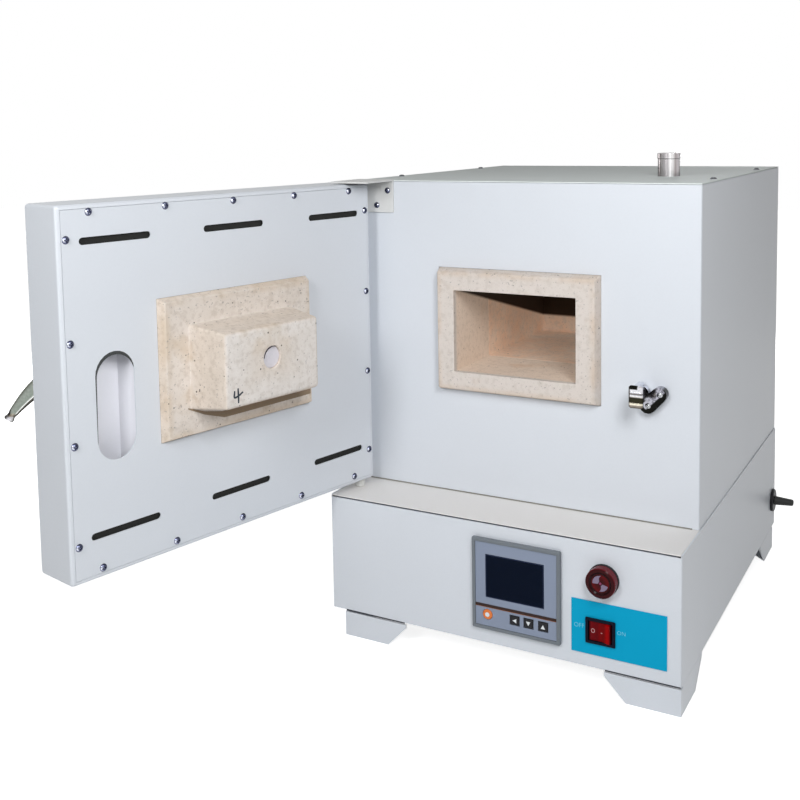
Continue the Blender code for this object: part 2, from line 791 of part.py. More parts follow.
def base_top(root):
    """Flat ledge sheet that the casing stands on, let in between the sides and the rear."""
    side = BASE_HALF - SHEET - GAP
    block("base_top", (-side, FACE_Y, LEDGE_Z - SHEET), (side, CASING_DEPTH - SHEET - GAP, LEDGE_Z),
          WHITE_PAINT, root)


def base_floor(root):
    """Floor tray of the plinth, with slots that let cool air in."""
    side = BASE_HALF - SHEET - GAP
    floor = folded_box("base_floor", (-side, FACE_Y + SHEET + GAP, FOOT_HEIGHT),
                       (side, CASING_DEPTH - SHEET - GAP, FOOT_HEIGHT + FLANGE), [(0, 0, 1)],
                       GREY_PAINT, root)
    for index in range(FLOOR_SLOT_COUNT):
        y = FLOOR_SLOT_Y + (index - (FLOOR_SLOT_COUNT - 1) / 2) * FLOOR_SLOT_PITCH
        cut(floor, box_cutter("floor_slot_%d" % index,
                              (-FLOOR_SLOT_LENGTH / 2, y - FLOOR_SLOT_WIDTH / 2, FOOT_HEIGHT - OVERRUN),
                              (FLOOR_SLOT_LENGTH / 2, y + FLOOR_SLOT_WIDTH / 2,
                               FOOT_HEIGHT + SHEET + OVERRUN), root))


def base_rear(root):
    """Rear panel of the plinth, let in between the sides, with cooling slots."""
    side = BASE_HALF - SHEET - GAP
    rear = block("base_rear", (-side, CASING_DEPTH - SHEET, FOOT_HEIGHT), (side, CASING_DEPTH, LEDGE_Z),
                 WHITE_PAINT, root)
    cut(rear, *vent_cutters("base_vent", root, CASING_DEPTH, FOOT_HEIGHT + BASE_VENT_RISE))


def foot(root, side, end):
    """A foot of bent sheet: two flanges that taper to the sole, the sole and the pad under the floor.

    The foot is drawn for a right front corner at its own origin, and turned over for the others.
    """
    name = "foot_%s_%s" % ("front" if end < 0 else "rear", "left" if side < 0 else "right")
    where = (side * (BASE_HALF - (FOOT_LEFT_INSET if side < 0 else 0.0)),
             FACE_Y if end < 0 else CASING_DEPTH - FOOT_REAR_INSET, 0.0)
    seam = FOOT_HEIGHT - FOOT_SEAM
    top = FOOT_HEIGHT - GAP
    corner, front_end, side_end = (0.0, 0.0, 0.0), (-FOOT_FRONT_SOLE, 0.0, 0.0), (0.0, FOOT_SIDE_SOLE, 0.0)
    upper = (0.0, 0.0, seam)
    front = [corner, upper, (-FOOT_FRONT_TOP, 0.0, seam), (-FOOT_FRONT_TOP, 0.0, seam - FOOT_LIP), front_end]
    flank = [corner, side_end, (0.0, FOOT_SIDE_TOP, top - FOOT_LIP), (0.0, FOOT_SIDE_TOP, top),
             (0.0, FOOT_SEAM_DEPTH, top), (0.0, FOOT_SEAM_DEPTH, seam), upper]
    bm = bmesh.new()
    verts = {}
    mirror = Vector((side, -end, 1.0))
    for outline in (front, flank, [corner, front_end, side_end]):
        for point in outline:
            if point not in verts:
                verts[point] = bm.verts.new([a * b for a, b in zip(point, mirror)])
        bm.faces.new([verts[point] for point in outline])
    if side * -end < 0:
        bmesh.ops.reverse_faces(bm, faces=bm.faces[:])
    bm.normal_update()
    mesh = bpy.data.meshes.new(name)
    bm.to_mesh(mesh)
    bm.free()
    made = place(name, mesh, WHITE_PAINT, root, where)
    solidify(made, FOOT_SHEET)
    inner = FOOT_SHEET / 2
    lo = Vector((min(-side * inner, -side * FOOT_PAD), min(-end * 2 * FOOT_SEAM_DEPTH, -end * FOOT_PAD),
                 top - FOOT_SHEET))
    hi = Vector((max(-side * inner, -side * FOOT_PAD), max(-end * 2 * FOOT_SEAM_DEPTH, -end * FOOT_PAD),
                 top))
    pad = box_cutter(name + "_pad", lo, hi, root)
    pad.location += Vector(where)
    join(made, pad)


# Chamber

def make_chamber(root):
    """Front brick, muffle, insulation boards, heaters, thermocouple and flue."""
    front_brick(root)
    muffle(root)
    insulation(root)
    for side in (-1, 1):
        heater(root, side)
    thermocouple(root)
    flue(root)


def front_brick(root):
    """Brick frame round the mouth of the chamber, its proud part drawn in a little on each side."""
    size, centre = corners((-BRICK_WIDTH / 2, 0.0, CHAMBER_Z - BRICK_HEIGHT / 2),
                           (BRICK_WIDTH / 2, BRICK_DEPTH, CHAMBER_Z + BRICK_HEIGHT / 2))
    bm = cube_bmesh(size)
    bm.normal_update()
    raise_face(bm, faces_towards(bm, [(0, -1, 0)])[0], BRICK_PROUD, BRICK_FACE_INSET, BRICK_FACE_INSET)
    brick = place("front_brick", mesh_of("front_brick", bm), FIREBRICK, root, centre)
    add_bevel(brick, BRICK_EDGE)
    cut(brick, box_cutter("chamber_mouth",
                          (-CHAMBER_WIDTH / 2, -BRICK_PROUD - OVERRUN, CHAMBER_Z - CHAMBER_HEIGHT / 2),
                          (CHAMBER_WIDTH / 2, BRICK_DEPTH + OVERRUN, CHAMBER_Z + CHAMBER_HEIGHT / 2), root))


def muffle(root):
    """Fired box behind the front brick, open to the front, with its flue port and probe hole."""
    made = folded_box("muffle", (-BRICK_WIDTH / 2, MUFFLE_Y, CHAMBER_Z - BRICK_HEIGHT / 2),
                      (BRICK_WIDTH / 2, MUFFLE_BACK, CHAMBER_Z + BRICK_HEIGHT / 2),
                      [(0, -1, 0)], FIRED_CLAY, root, thickness=BRICK_WALL)
    cut(made,
        round_cutter("flue_port", FLUE_PIPE_RADIUS, OVERRUN, -BRICK_WALL - OVERRUN, root,
                     (FLUE_PORT_X, FLUE_Y, CHAMBER_Z + BRICK_HEIGHT / 2), steps=SMALL_STEPS),
        round_cutter("probe_hole", PROBE_DIAMETER / 2 + GAP, BRICK_WALL + OVERRUN, -OVERRUN, root,
                     (0.0, MUFFLE_BACK, PROBE_Z), axis="-Y", steps=SMALL_STEPS))


def insulation(root):
    """Fibre boards that fill the casing round the muffle."""
    low = CHAMBER_Z - BRICK_HEIGHT / 2
    high = CHAMBER_Z + BRICK_HEIGHT / 2
    ceiling = TOP_Z - 2 * (SHEET + GAP) - GAP
    inner = BRICK_WIDTH / 2 + GAP
    block("insulation_bottom", (-BOARD_HALF, BOARD_Y, CASING_Z + SHEET + GAP),
          (BOARD_HALF, BOARD_BACK, low - GAP), FIBRE_BOARD, root)
    top = block("insulation_top", (-BOARD_HALF, BOARD_Y, high + GAP), (BOARD_HALF, BOARD_BACK, ceiling),
                FIBRE_BOARD, root)
    pipe = FLUE_PIPE_RADIUS + GAP
    cut(top,
        box_cutter("flue_channel", (FLUE_PORT_X - pipe, FLUE_Y - pipe, high - OVERRUN),
                   (FLUE_X + FLUE_OUTER_RADIUS + GAP, FLUE_Y + pipe, TOP_Z - FLUE_BURIED), root),
        round_cutter("flue_well", FLUE_OUTER_RADIUS + GAP, OVERRUN, -FLUE_BURIED - GAP, root,
                     (FLUE_X, FLUE_Y, TOP_Z), steps=FINE_STEPS))
    rear = block("insulation_rear", (-inner, MUFFLE_BACK + GAP, low), (inner, BOARD_BACK, high),
                 FIBRE_BOARD, root)
    cut(rear, round_cutter("probe_channel", PROBE_DIAMETER / 2 + GAP, OVERRUN,
                           MUFFLE_BACK - BOARD_BACK - OVERRUN, root, (0.0, MUFFLE_BACK, PROBE_Z),
                           axis="-Y", steps=SMALL_STEPS))
    for side, word in ((-1, "left"), (1, "right")):
        near = side * (inner + GAP)
        board = block("insulation_" + word,
                      (min(near, side * BOARD_HALF), BOARD_Y, low),
                      (max(near, side * BOARD_HALF), BOARD_BACK, high), FIBRE_BOARD, root)
        start, end, foot_z, head_z = heater_field()
        edges = (near - side * OVERRUN, near + side * HEATER_RECESS)
        cut(board, box_cutter("heater_recess_" + word, (min(edges), start, foot_z),
                              (max(edges), end, head_z), root))


def heater_field():
    """The rectangle beside the muffle that a heater fills: front, back, bottom and top."""
    span = HEATER_PITCH * (HEATER_RUNS - 1) + HEATER_DIAMETER
    middle = (MUFFLE_Y + MUFFLE_BACK) / 2
    edge = HEATER_MARGIN - HEATER_DIAMETER / 2
    return (middle - span / 2 - GAP, middle + span / 2 + GAP,
            CHAMBER_Z - BRICK_HEIGHT / 2 + edge, CHAMBER_Z + BRICK_HEIGHT / 2 - edge)


def heater(root, side):
    """Heater wire that runs up and down beside the muffle, its turns half round."""
    start, _end, foot_z, head_z = heater_field()
    radius = HEATER_DIAMETER / 2
    turn = HEATER_PITCH / 2
    low = foot_z + GAP + radius + turn
    high = head_z - GAP - radius - turn
    x = side * (BRICK_WIDTH / 2 + 2 * GAP + HEATER_RECESS - GAP - radius)
    first = start + GAP + radius
    path = [(x, first, low - turn)]
    for run in range(HEATER_RUNS):
        y = first + run * HEATER_PITCH
        upward = run % 2 == 0
        path.append((x, y, high if upward else low))
        if run < HEATER_RUNS - 1:
            level = high if upward else low
            sign = 1 if upward else -1
            bend = arc((y + turn, level), turn, math.pi, 0.0, 6)[1:]
            path += [(x, by, level + sign * (bz - level)) for by, bz in bend]
    path.append((x, first + (HEATER_RUNS - 1) * HEATER_PITCH, high + turn))
    mesh = wire_mesh("heater", path, [radius] * len(path), resolution=1)
    place("heater_left" if side < 0 else "heater_right", mesh, HEATER_WIRE, root, (0.0, 0.0, 0.0))


def thermocouple(root):
    """Ceramic sheath through the rear of the muffle, with its head on the rear board."""
    radius = PROBE_DIAMETER / 2
    tip = CHAMBER_BACK - PROBE_REACH
    dome = [(radius * math.sin(t), tip + radius * (1 - math.cos(t)))
            for t in [math.pi / 2 * i / 4 for i in range(5)]]
    tail = BOARD_BACK + PROBE_HEAD_DEPTH + PROBE_TAIL
    profile = [(r, -y) for r, y in dome] + [(radius, -tail), (0.0, -tail)]
    turned("thermocouple_sheath", profile, WHITE_FIBRE, root, (0.0, 0.0, PROBE_Z),
           steps=SMALL_STEPS, axis="-Y")
    head = tube_profile(PROBE_HEAD_DIAMETER / 2, radius + GAP, -BOARD_BACK - GAP,
                        -BOARD_BACK - PROBE_HEAD_DEPTH)
    turned("thermocouple_head", head, ALUMINIUM, root, (0.0, 0.0, PROBE_Z), axis="-Y")


def flue(root):
    """Stub that stands out of the top, and the bent pipe that feeds it from the chamber."""
    outer, inner = FLUE_OUTER_RADIUS, FLUE_OUTER_RADIUS - FLUE_WALL
    top = TOP_Z + FLUE_RISE
    low = TOP_Z - FLUE_BURIED
    rim = outer + FLUE_RIM_PROUD
    rim_foot = top - FLUE_RIM_HEIGHT
    profile = [(inner, top), (rim - FLUE_RIM_PROUD, top), (rim, top - FLUE_RIM_PROUD),
               (rim, rim_foot + FLUE_RIM_PROUD), (outer, rim_foot), (outer, low), (inner, low), (inner, top)]
    turned("flue_stub", profile, STAINLESS, root, (FLUE_X, FLUE_Y, 0.0), steps=FINE_STEPS)
    foot_z = CHAMBER_Z + BRICK_HEIGHT / 2 + GAP
    run_z = TOP_Z - FLUE_RUN_DROP
    first = [(FLUE_PORT_X, z) for z in (foot_z,)]
    bend_up = arc((FLUE_PORT_X + FLUE_BEND, run_z - FLUE_BEND), FLUE_BEND, math.pi, math.pi / 2, 5)
    bend_out = arc((FLUE_X - FLUE_BEND, run_z + FLUE_BEND), FLUE_BEND, -math.pi / 2, 0.0, 5)
    route = first + bend_up + bend_out + [(FLUE_X, low + FLUE_BEND)]
    path = [(x, FLUE_Y, z) for x, z in route]
    pipe = place("flue_pipe", wire_mesh("flue_pipe", path, [FLUE_PIPE_RADIUS] * len(path)), STAINLESS,
                 root, (0.0, 0.0, 0.0))
    below, above = Vector(path[0]), Vector(path[-1])
    below.z -= OVERRUN
    above.z += OVERRUN
    bore_path = [tuple(below)] + path[1:-1] + [tuple(above)]
    bore = wire_mesh("flue_bore", bore_path, [FLUE_PIPE_BORE] * len(bore_path))
    cut(pipe, place("flue_bore", bore, None, root, (0.0, 0.0, 0.0), cutter=True))


# Door. Its pieces are placed by u, from the hinge edge, w, from the inner face outwards, and height.

def door_point(u, w, z):
    """Place of a door point on the hinge's own frame."""
    return Vector((u - PIVOT_INSET, PIVOT_DEPTH - w, z))


def door_corners(u, w, z):
    """The two corners of a door block, from its ranges of u, w and height."""
    return door_point(u[0], w[1], z[0]), door_point(u[1], w[0], z[1])


def make_door(hinge):
    """Everything that swings with the door, drawn in the hinge's frame as if the door were shut."""
    door_shell(hinge)
    door_panel(hinge)
    door_insulation(hinge)
    door_brick(hinge)
    latch_box(hinge)
    for end in (-1, 1):
        hinge_bush(hinge, end)
    rose = tube_profile(ROSE_RADIUS, SPINDLE_RADIUS + GAP, ROSE_HEIGHT + GAP, GAP)
    rose_place = door_point(SPINDLE_U, DOOR_THICKNESS, SPINDLE_Z)
    turned("latch_rose", rose, CHROME, hinge, rose_place, axis="-Y")


def door_shell(hinge):
    """Folded tray: outer skin, four sides and a rim turned in, stepped down to carry the panel."""
    lo, hi = door_corners((0.0, DOOR_WIDTH), (0.0, DOOR_THICKNESS), (DOOR_Z, DOOR_TOP))
    size, centre = corners(lo, hi)
    bm = cube_bmesh(size)
    bmesh.ops.bevel(bm, geom=bm.edges[:], offset=DOOR_FOLD_RADIUS, segments=3, profile=0.5, affect="EDGES")
    bm.normal_update()
    inner = max(faces_towards(bm, [(0, 1, 0)]), key=lambda face: face.calc_area())
    rim = DOOR_RIM - DOOR_FOLD_RADIUS
    step = shrink_face(bm, inner, rim, rim)
    seat = raise_face(bm, step, -PANEL_BACK, 0.0, 0.0)
    middle = shrink_face(bm, seat, DOOR_RETURN, DOOR_RETURN)
    bmesh.ops.delete(bm, geom=[middle], context="FACES")
    mesh = bpy.data.meshes.new("door_shell")
    bm.to_mesh(mesh)
    bm.free()
    shell = place("door_shell", mesh, DOOR_PAINT, hinge, centre)
    solidify(shell, SHEET)
    cut(shell, round_cutter("spindle_hole", SPINDLE_RADIUS + GAP, OVERRUN, -SHEET - OVERRUN, hinge,
                            door_point(SPINDLE_U, DOOR_THICKNESS, SPINDLE_Z), axis="-Y", steps=SMALL_STEPS))
    for end, z in ((-1, DOOR_Z), (1, DOOR_TOP)):
        cut(shell, round_cutter("bush_hole_%d" % end, PIN_RADIUS + GAP + BUSH_WALL + GAP, OVERRUN + SHEET,
                                -OVERRUN - SHEET, hinge, (0.0, 0.0, z)))


def door_panel(hinge):
    """Inner panel, with its six vent slots, the brick's opening and the latch pocket's mouth."""
    edge = DOOR_RIM + GAP
    lo, hi = door_corners((edge, DOOR_WIDTH - edge), (0.0, SHEET), (DOOR_Z + edge, DOOR_TOP - edge))
    panel = block("door_inner_panel", lo, hi, DOOR_PAINT, hinge)
    for index, share in enumerate(SLOT_SHARES[::2]):
        start = share * DOOR_WIDTH
        for level, z in (("low", DOOR_Z + SLOT_RISE), ("high", DOOR_TOP - SLOT_RISE + SLOT_WIDTH)):
            length = SLOT_SHARES[2 * index + 1] * DOOR_WIDTH - start
            outline = [(z_part, x_part) for x_part, z_part in obround(SLOT_WIDTH, length, 6)]
            where = door_point(start + length / 2, SHEET / 2, z)
            cut(panel, outline_cutter("slot_%s_%d" % (level, index), outline[::-1],
                                      SHEET + 2 * OVERRUN, hinge, where))
    lo, hi = door_corners(
        (PLATE_CENTRE - PLATE_WIDTH / 2 - GAP, PLATE_CENTRE + PLATE_WIDTH / 2 + GAP),
        (-OVERRUN, SHEET + OVERRUN),
        (CHAMBER_Z - PLATE_HEIGHT / 2 - GAP, CHAMBER_Z + PLATE_HEIGHT / 2 + GAP))
    pocket = outline_cutter("pocket_mouth", obround(POCKET_WIDTH, POCKET_HEIGHT, 12), SHEET + 2 * OVERRUN,
                            hinge, door_point(POCKET_CENTRE, SHEET / 2, POCKET_Z))
    cut(panel, box_cutter("plate_hole", lo, hi, hinge), pocket)


def pocket_range():
    """Ranges of u, w and height that the latch box takes up inside the door."""
    left = POCKET_CENTRE - POCKET_WIDTH / 2 - SHEET
    right = DOOR_WIDTH - SHEET - GAP
    half = POCKET_HEIGHT / 2 + POCKET_MARGIN
    return (left, right), (PANEL_BACK, POCKET_DEPTH + SHEET), (POCKET_Z - half, POCKET_Z + half)


def latch_box(hinge):
    """Painted channel behind the pocket: a side wall with one fold, then the back wall."""
    (left, right), (front, back), (low, high) = pocket_range()
    fold = front + (back - front) * POCKET_FOLD_SHARE
    outer = [(left, -front), (left, -fold), (left + POCKET_FOLD_SLOPE, -back), (right, -back),
             (right, -back + SHEET), (left + POCKET_FOLD_SLOPE + SHEET, -back + SHEET),
             (left + SHEET, -fold), (left + SHEET, -front)]
    mesh = outline_mesh("latch_box", [(u - left, w) for u, w in outer], high - low)
    mesh.transform(Matrix.Rotation(math.radians(-90), 4, "X"))
    where = door_point(left, 0.0, (low + high) / 2)
    channel = place("latch_box", mesh, DOOR_PAINT, hinge, where)
    cut(channel, round_cutter("box_spindle_hole", SPINDLE_RADIUS + GAP, OVERRUN, -SHEET - OVERRUN, hinge,
                              door_point(SPINDLE_U, back, SPINDLE_Z), axis="-Y", steps=SMALL_STEPS))


def door_insulation(hinge):
    """Fibre filling of the door, hollowed for the brick, the latch box, the spindle and the bushes."""
    skin = SHEET + GAP
    front = PANEL_BACK + SHEET + GAP
    lo, hi = door_corners((skin, DOOR_WIDTH - skin), (front, DOOR_THICKNESS - skin),
                          (DOOR_Z + skin, DOOR_TOP - skin))
    filling = block("door_insulation", lo, hi, FIBRE_BOARD, hinge, edge=DOOR_FOLD_RADIUS)
    (left, right), (_front, back), (low, high) = pocket_range()
    box_lo, box_hi = door_corners((left - GAP, right + OVERRUN), (front - OVERRUN, back + GAP),
                                  (low - GAP, high + GAP))
    brick_lo, brick_hi = door_corners(
        (PLATE_CENTRE - PLATE_WIDTH / 2 - GAP, PLATE_CENTRE + PLATE_WIDTH / 2 + GAP),
        (front - OVERRUN, PLATE_BURIED + GAP),
        (CHAMBER_Z - PLATE_HEIGHT / 2 - GAP, CHAMBER_Z + PLATE_HEIGHT / 2 + GAP))
    cut(filling, box_cutter("box_space", box_lo, box_hi, hinge),
        box_cutter("brick_space", brick_lo, brick_hi, hinge),
        round_cutter("spindle_space", SPINDLE_RADIUS + GAP, OVERRUN, -DOOR_THICKNESS, hinge,
                     door_point(SPINDLE_U, DOOR_THICKNESS, SPINDLE_Z), axis="-Y", steps=SMALL_STEPS))
    for end, z in ((-1, DOOR_Z), (1, DOOR_TOP)):
        reach = BUSH_LENGTH + GAP
        cut(filling, round_cutter("bush_space_%d" % end, PIN_RADIUS + GAP + BUSH_WALL + GAP, reach, -reach,
                                  hinge, (0.0, 0.0, z)))


def door_brick(hinge):
    """Brick plate let into the panel, and the tapered plug on it that closes the chamber's mouth."""
    lo, hi = door_corners((PLATE_CENTRE - PLATE_WIDTH / 2, PLATE_CENTRE + PLATE_WIDTH / 2),
                          (0.0, PLATE_BURIED), (CHAMBER_Z - PLATE_HEIGHT / 2, CHAMBER_Z + PLATE_HEIGHT / 2))
    size, centre = corners(lo, hi)
    bm = cube_bmesh(size)
    bm.normal_update()
    face = raise_face(bm, faces_towards(bm, [(0, 1, 0)])[0], PLATE_PROUD, PLATE_FACE_INSET, PLATE_FACE_INSET)
    foot_face = shrink_face(bm, face, PLATE_WIDTH / 2 - PLATE_FACE_INSET - PLUG_WIDTH / 2,
                            PLATE_HEIGHT / 2 - PLATE_FACE_INSET - PLUG_HEIGHT / 2)
    tip = raise_face(bm, foot_face, PLUG_LENGTH, PLUG_SIDE_DRAFT, PLUG_TOP_DRAFT)
    rims = set(tip.edges)
    for edge in bm.edges:
        ends = [vert in tip.verts for vert in edge.verts]
        if sum(ends) == 1:
            rims.add(edge)
    bmesh.ops.bevel(bm, geom=list(rims), offset=PLUG_EDGE, segments=2, profile=0.5, affect="EDGES")
    brick = place("door_brick", mesh_of("door_brick", bm), FIREBRICK, hinge, centre)
    tip_w = -PLATE_PROUD - PLUG_LENGTH
    port = door_point(PLATE_CENTRE + PORT_SIDE_SHIFT, tip_w, CHAMBER_Z + PORT_RISE)
    cut(brick, round_cutter("plug_port", PORT_RADIUS, PORT_DEPTH, -OVERRUN, hinge, port, axis="-Y",
                            steps=FINE_STEPS))
    seat = PORT_DEPTH - GAP
    turned("plug_stopper", rod_profile(PORT_RADIUS - GAP, seat, seat - STOPPER_THICKNESS), WHITE_FIBRE,
           hinge, port, axis="-Y")


def hinge_bush(hinge, end):
    """Brass bush that turns on a hinge pin."""
    inner = PIN_RADIUS + GAP
    outer = inner + BUSH_WALL
    z = DOOR_Z if end < 0 else DOOR_TOP - BUSH_LENGTH
    turned("hinge_bush_bottom" if end < 0 else "hinge_bush_top",
           tube_profile(outer, inner, BUSH_LENGTH, 0.0), BRASS, hinge, (0.0, 0.0, z), steps=SMALL_STEPS)


# Hinge on the casing

def make_hinge(root):
    """Bent bracket over the door's top with its pin, and the collared pin on the ledge."""
    lo = Vector((-CASING_HALF, -BRACKET_REACH, BRACKET_TOP - BRACKET_DROP))
    hi = Vector((-CASING_HALF + BRACKET_WIDTH, -GAP, BRACKET_TOP))
    bracket = folded_box("hinge_bracket", lo, hi, [(-1, 0, 0), (1, 0, 0), (0, -1, 0), (0, 0, -1)],
                         GREY_PAINT, root, thickness=BRACKET_SHEET)
    pin_foot = DOOR_TOP - PIN_LENGTH
    pin = [(0.0, BRACKET_TOP - BRACKET_SHEET / 2), (PIN_RADIUS, BRACKET_TOP - BRACKET_SHEET / 2),
           (PIN_RADIUS, pin_foot + PIN_CHAMFER), (PIN_RADIUS - PIN_CHAMFER, pin_foot), (0.0, pin_foot)]
    pin_mesh = turned_mesh("bracket_pin", pin, ROUND_STEPS)
    join(bracket, place("bracket_pin", pin_mesh, None, root, (PIVOT_X, PIVOT_Y, 0.0), cutter=True))
    collar_top = DOOR_Z - GAP
    top = DOOR_Z + PIN_LENGTH
    profile = [(0.0, top), (PIN_RADIUS - PIN_CHAMFER, top), (PIN_RADIUS, top - PIN_CHAMFER),
               (PIN_RADIUS, collar_top), (COLLAR_RADIUS, collar_top), (COLLAR_RADIUS, LEDGE_Z + GAP),
               (0.0, LEDGE_Z + GAP)]
    turned("hinge_pin_bottom", profile, ZINC, root, (PIVOT_X, PIVOT_Y, 0.0))


# Latch

def make_latch(spindle):
    """Handle, spindle and tongue, which turn together, drawn in the spindle's frame with the latch open."""
    out = PIVOT_DEPTH - DOOR_THICKNESS
    lever_root = out - ROSE_HEIGHT - 2 * GAP
    hub_top = lever_root - HUB_HEIGHT
    ahead = Vector((math.cos(LEVER_ANGLE), 0.0, math.sin(LEVER_ANGLE)))
    root_at = Vector((0.0, (lever_root + hub_top) / 2, 0.0))
    tip_at = ahead * LEVER_REACH + Vector((0.0, hub_top - LEVER_LIFT, 0.0))
    run = (tip_at - root_at).normalized()
    points = [root_at, root_at.lerp(tip_at, 0.5), tip_at, tip_at + run * LEVER_LIP,
              tip_at + run * 2 * LEVER_LIP]
    radii = [LEVER_ROOT_RADIUS, (LEVER_ROOT_RADIUS + LEVER_TIP_RADIUS) / 2, LEVER_TIP_RADIUS,
             LEVER_LIP_RADIUS, LEVER_TIP_RADIUS]
    lever = wire_mesh("lever", [tuple(point) for point in points], radii, resolution=4)
    squeeze_across(lever, root_at, run, LEVER_FLATTEN_SHARE)
    hub_profile = [(0.0, -hub_top), (HUB_RADIUS * HUB_CROWN_SHARE, -hub_top),
                   (HUB_RADIUS, -hub_top - HUB_HEIGHT / 4), (HUB_RADIUS, -lever_root), (0.0, -lever_root)]
    hub = turned("latch_handle", hub_profile, CHROME, spindle, (0.0, 0.0, 0.0), axis="-Y")
    join(hub, place("lever", lever, None, spindle, (0.0, 0.0, 0.0), cutter=True))
    tongue_out = PIVOT_DEPTH - TONGUE_SETBACK - TONGUE_THICKNESS
    rod = rod_profile(SPINDLE_RADIUS, -lever_root - GAP, -tongue_out + GAP)
    turned("latch_spindle", rod, ZINC, spindle, (0.0, 0.0, 0.0), steps=SMALL_STEPS, axis="-Y")
    angle = TONGUE_LOCKED_ANGLE + LATCH_OPEN_TURN
    end = (TONGUE_REACH * math.cos(angle), TONGUE_REACH * math.sin(angle))
    outline = capsule((0.0, 0.0), end, TONGUE_WIDTH * TONGUE_ROOT_SHARE, TONGUE_WIDTH / 2, 8)
    outline_plate("latch_tongue", outline, TONGUE_THICKNESS, ZINC, spindle,
                  (0.0, tongue_out + TONGUE_THICKNESS / 2, 0.0))


def squeeze_across(mesh, start, run, share):
    """Flattens a lever across its own run, so that its section becomes an ellipse."""
    across = run.cross(Vector((0.0, 1.0, 0.0))).normalized()
    thin = run.cross(across).normalized()
    for vert in mesh.vertices:
        offset = (vert.co - start).dot(thin)
        vert.co -= thin * offset * (1 - share)


def latch_strike(root):
    """Chromed keeper on the casing: a ribbed head on a neck, and a curved arm with two screw bosses."""
    foot_z, head_z = KEEPER_FOOT, KEEPER_FOOT + KEEPER_HEIGHT
    right = KEEPER_LEFT + KEEPER_WIDTH
    head = block("latch_strike", (KEEPER_LEFT, -KEEPER_REACH, foot_z),
                 (right, -KEEPER_REACH + KEEPER_HEAD, head_z), CHROME, root, edge=KEEPER_EDGE)
    inset = NECK_INSET_SHARE * KEEPER_EDGE
    neck = box_cutter("keeper_neck", (KEEPER_LEFT + inset, -KEEPER_REACH + KEEPER_HEAD / 2, foot_z + inset),
                      (KEEPER_LEFT + KEEPER_NECK_WIDTH, -GAP - ARM_THICKNESS / 2, head_z - inset), root)
    low, high = (ARM_LOW_X, ARM_LOW_Z), (ARM_HIGH_X, ARM_HIGH_Z)
    foot_at = (KEEPER_LEFT + KEEPER_NECK_WIDTH, foot_z + KEEPER_HEIGHT / 2)
    arm_y = -GAP - ARM_THICKNESS / 2
    link_outline = capsule(low, foot_at, ARM_LOW_RADIUS * LINK_LOW_SHARE, ARM_LOW_RADIUS * LINK_HIGH_SHARE,
                           7)
    link = outline_cutter("keeper_link", link_outline, ARM_THICKNESS * LINK_THICKNESS_SHARE, root,
                          (0.0, arm_y, 0.0))
    arm = outline_cutter("keeper_arm", capsule(low, high, ARM_LOW_RADIUS, ARM_HIGH_RADIUS, 8),
                         ARM_THICKNESS, root, (0.0, arm_y, 0.0))
    join(head, neck, link, arm)
    for index, (x, z) in enumerate((low, high)):
        cut(head, round_cutter("boss_bore_%d" % index, ARM_BORE, OVERRUN, -ARM_BORE_DEPTH, root,
                               (x, -GAP - ARM_THICKNESS, z), axis="-Y", steps=SMALL_STEPS))
    pitch = KEEPER_HEIGHT / (KEEPER_RIBS + 1)
    for index in range(KEEPER_RIBS):
        z = foot_z + (index + 1) * pitch
        cut(head, box_cutter("keeper_groove_%d" % index,
                             (KEEPER_LEFT - OVERRUN, -KEEPER_REACH - OVERRUN, z - KEEPER_RIB_DEPTH),
                             (right + OVERRUN, -KEEPER_REACH + KEEPER_RIB_DEPTH, z + KEEPER_RIB_DEPTH),
                             root))


# Fittings on the plinth's front

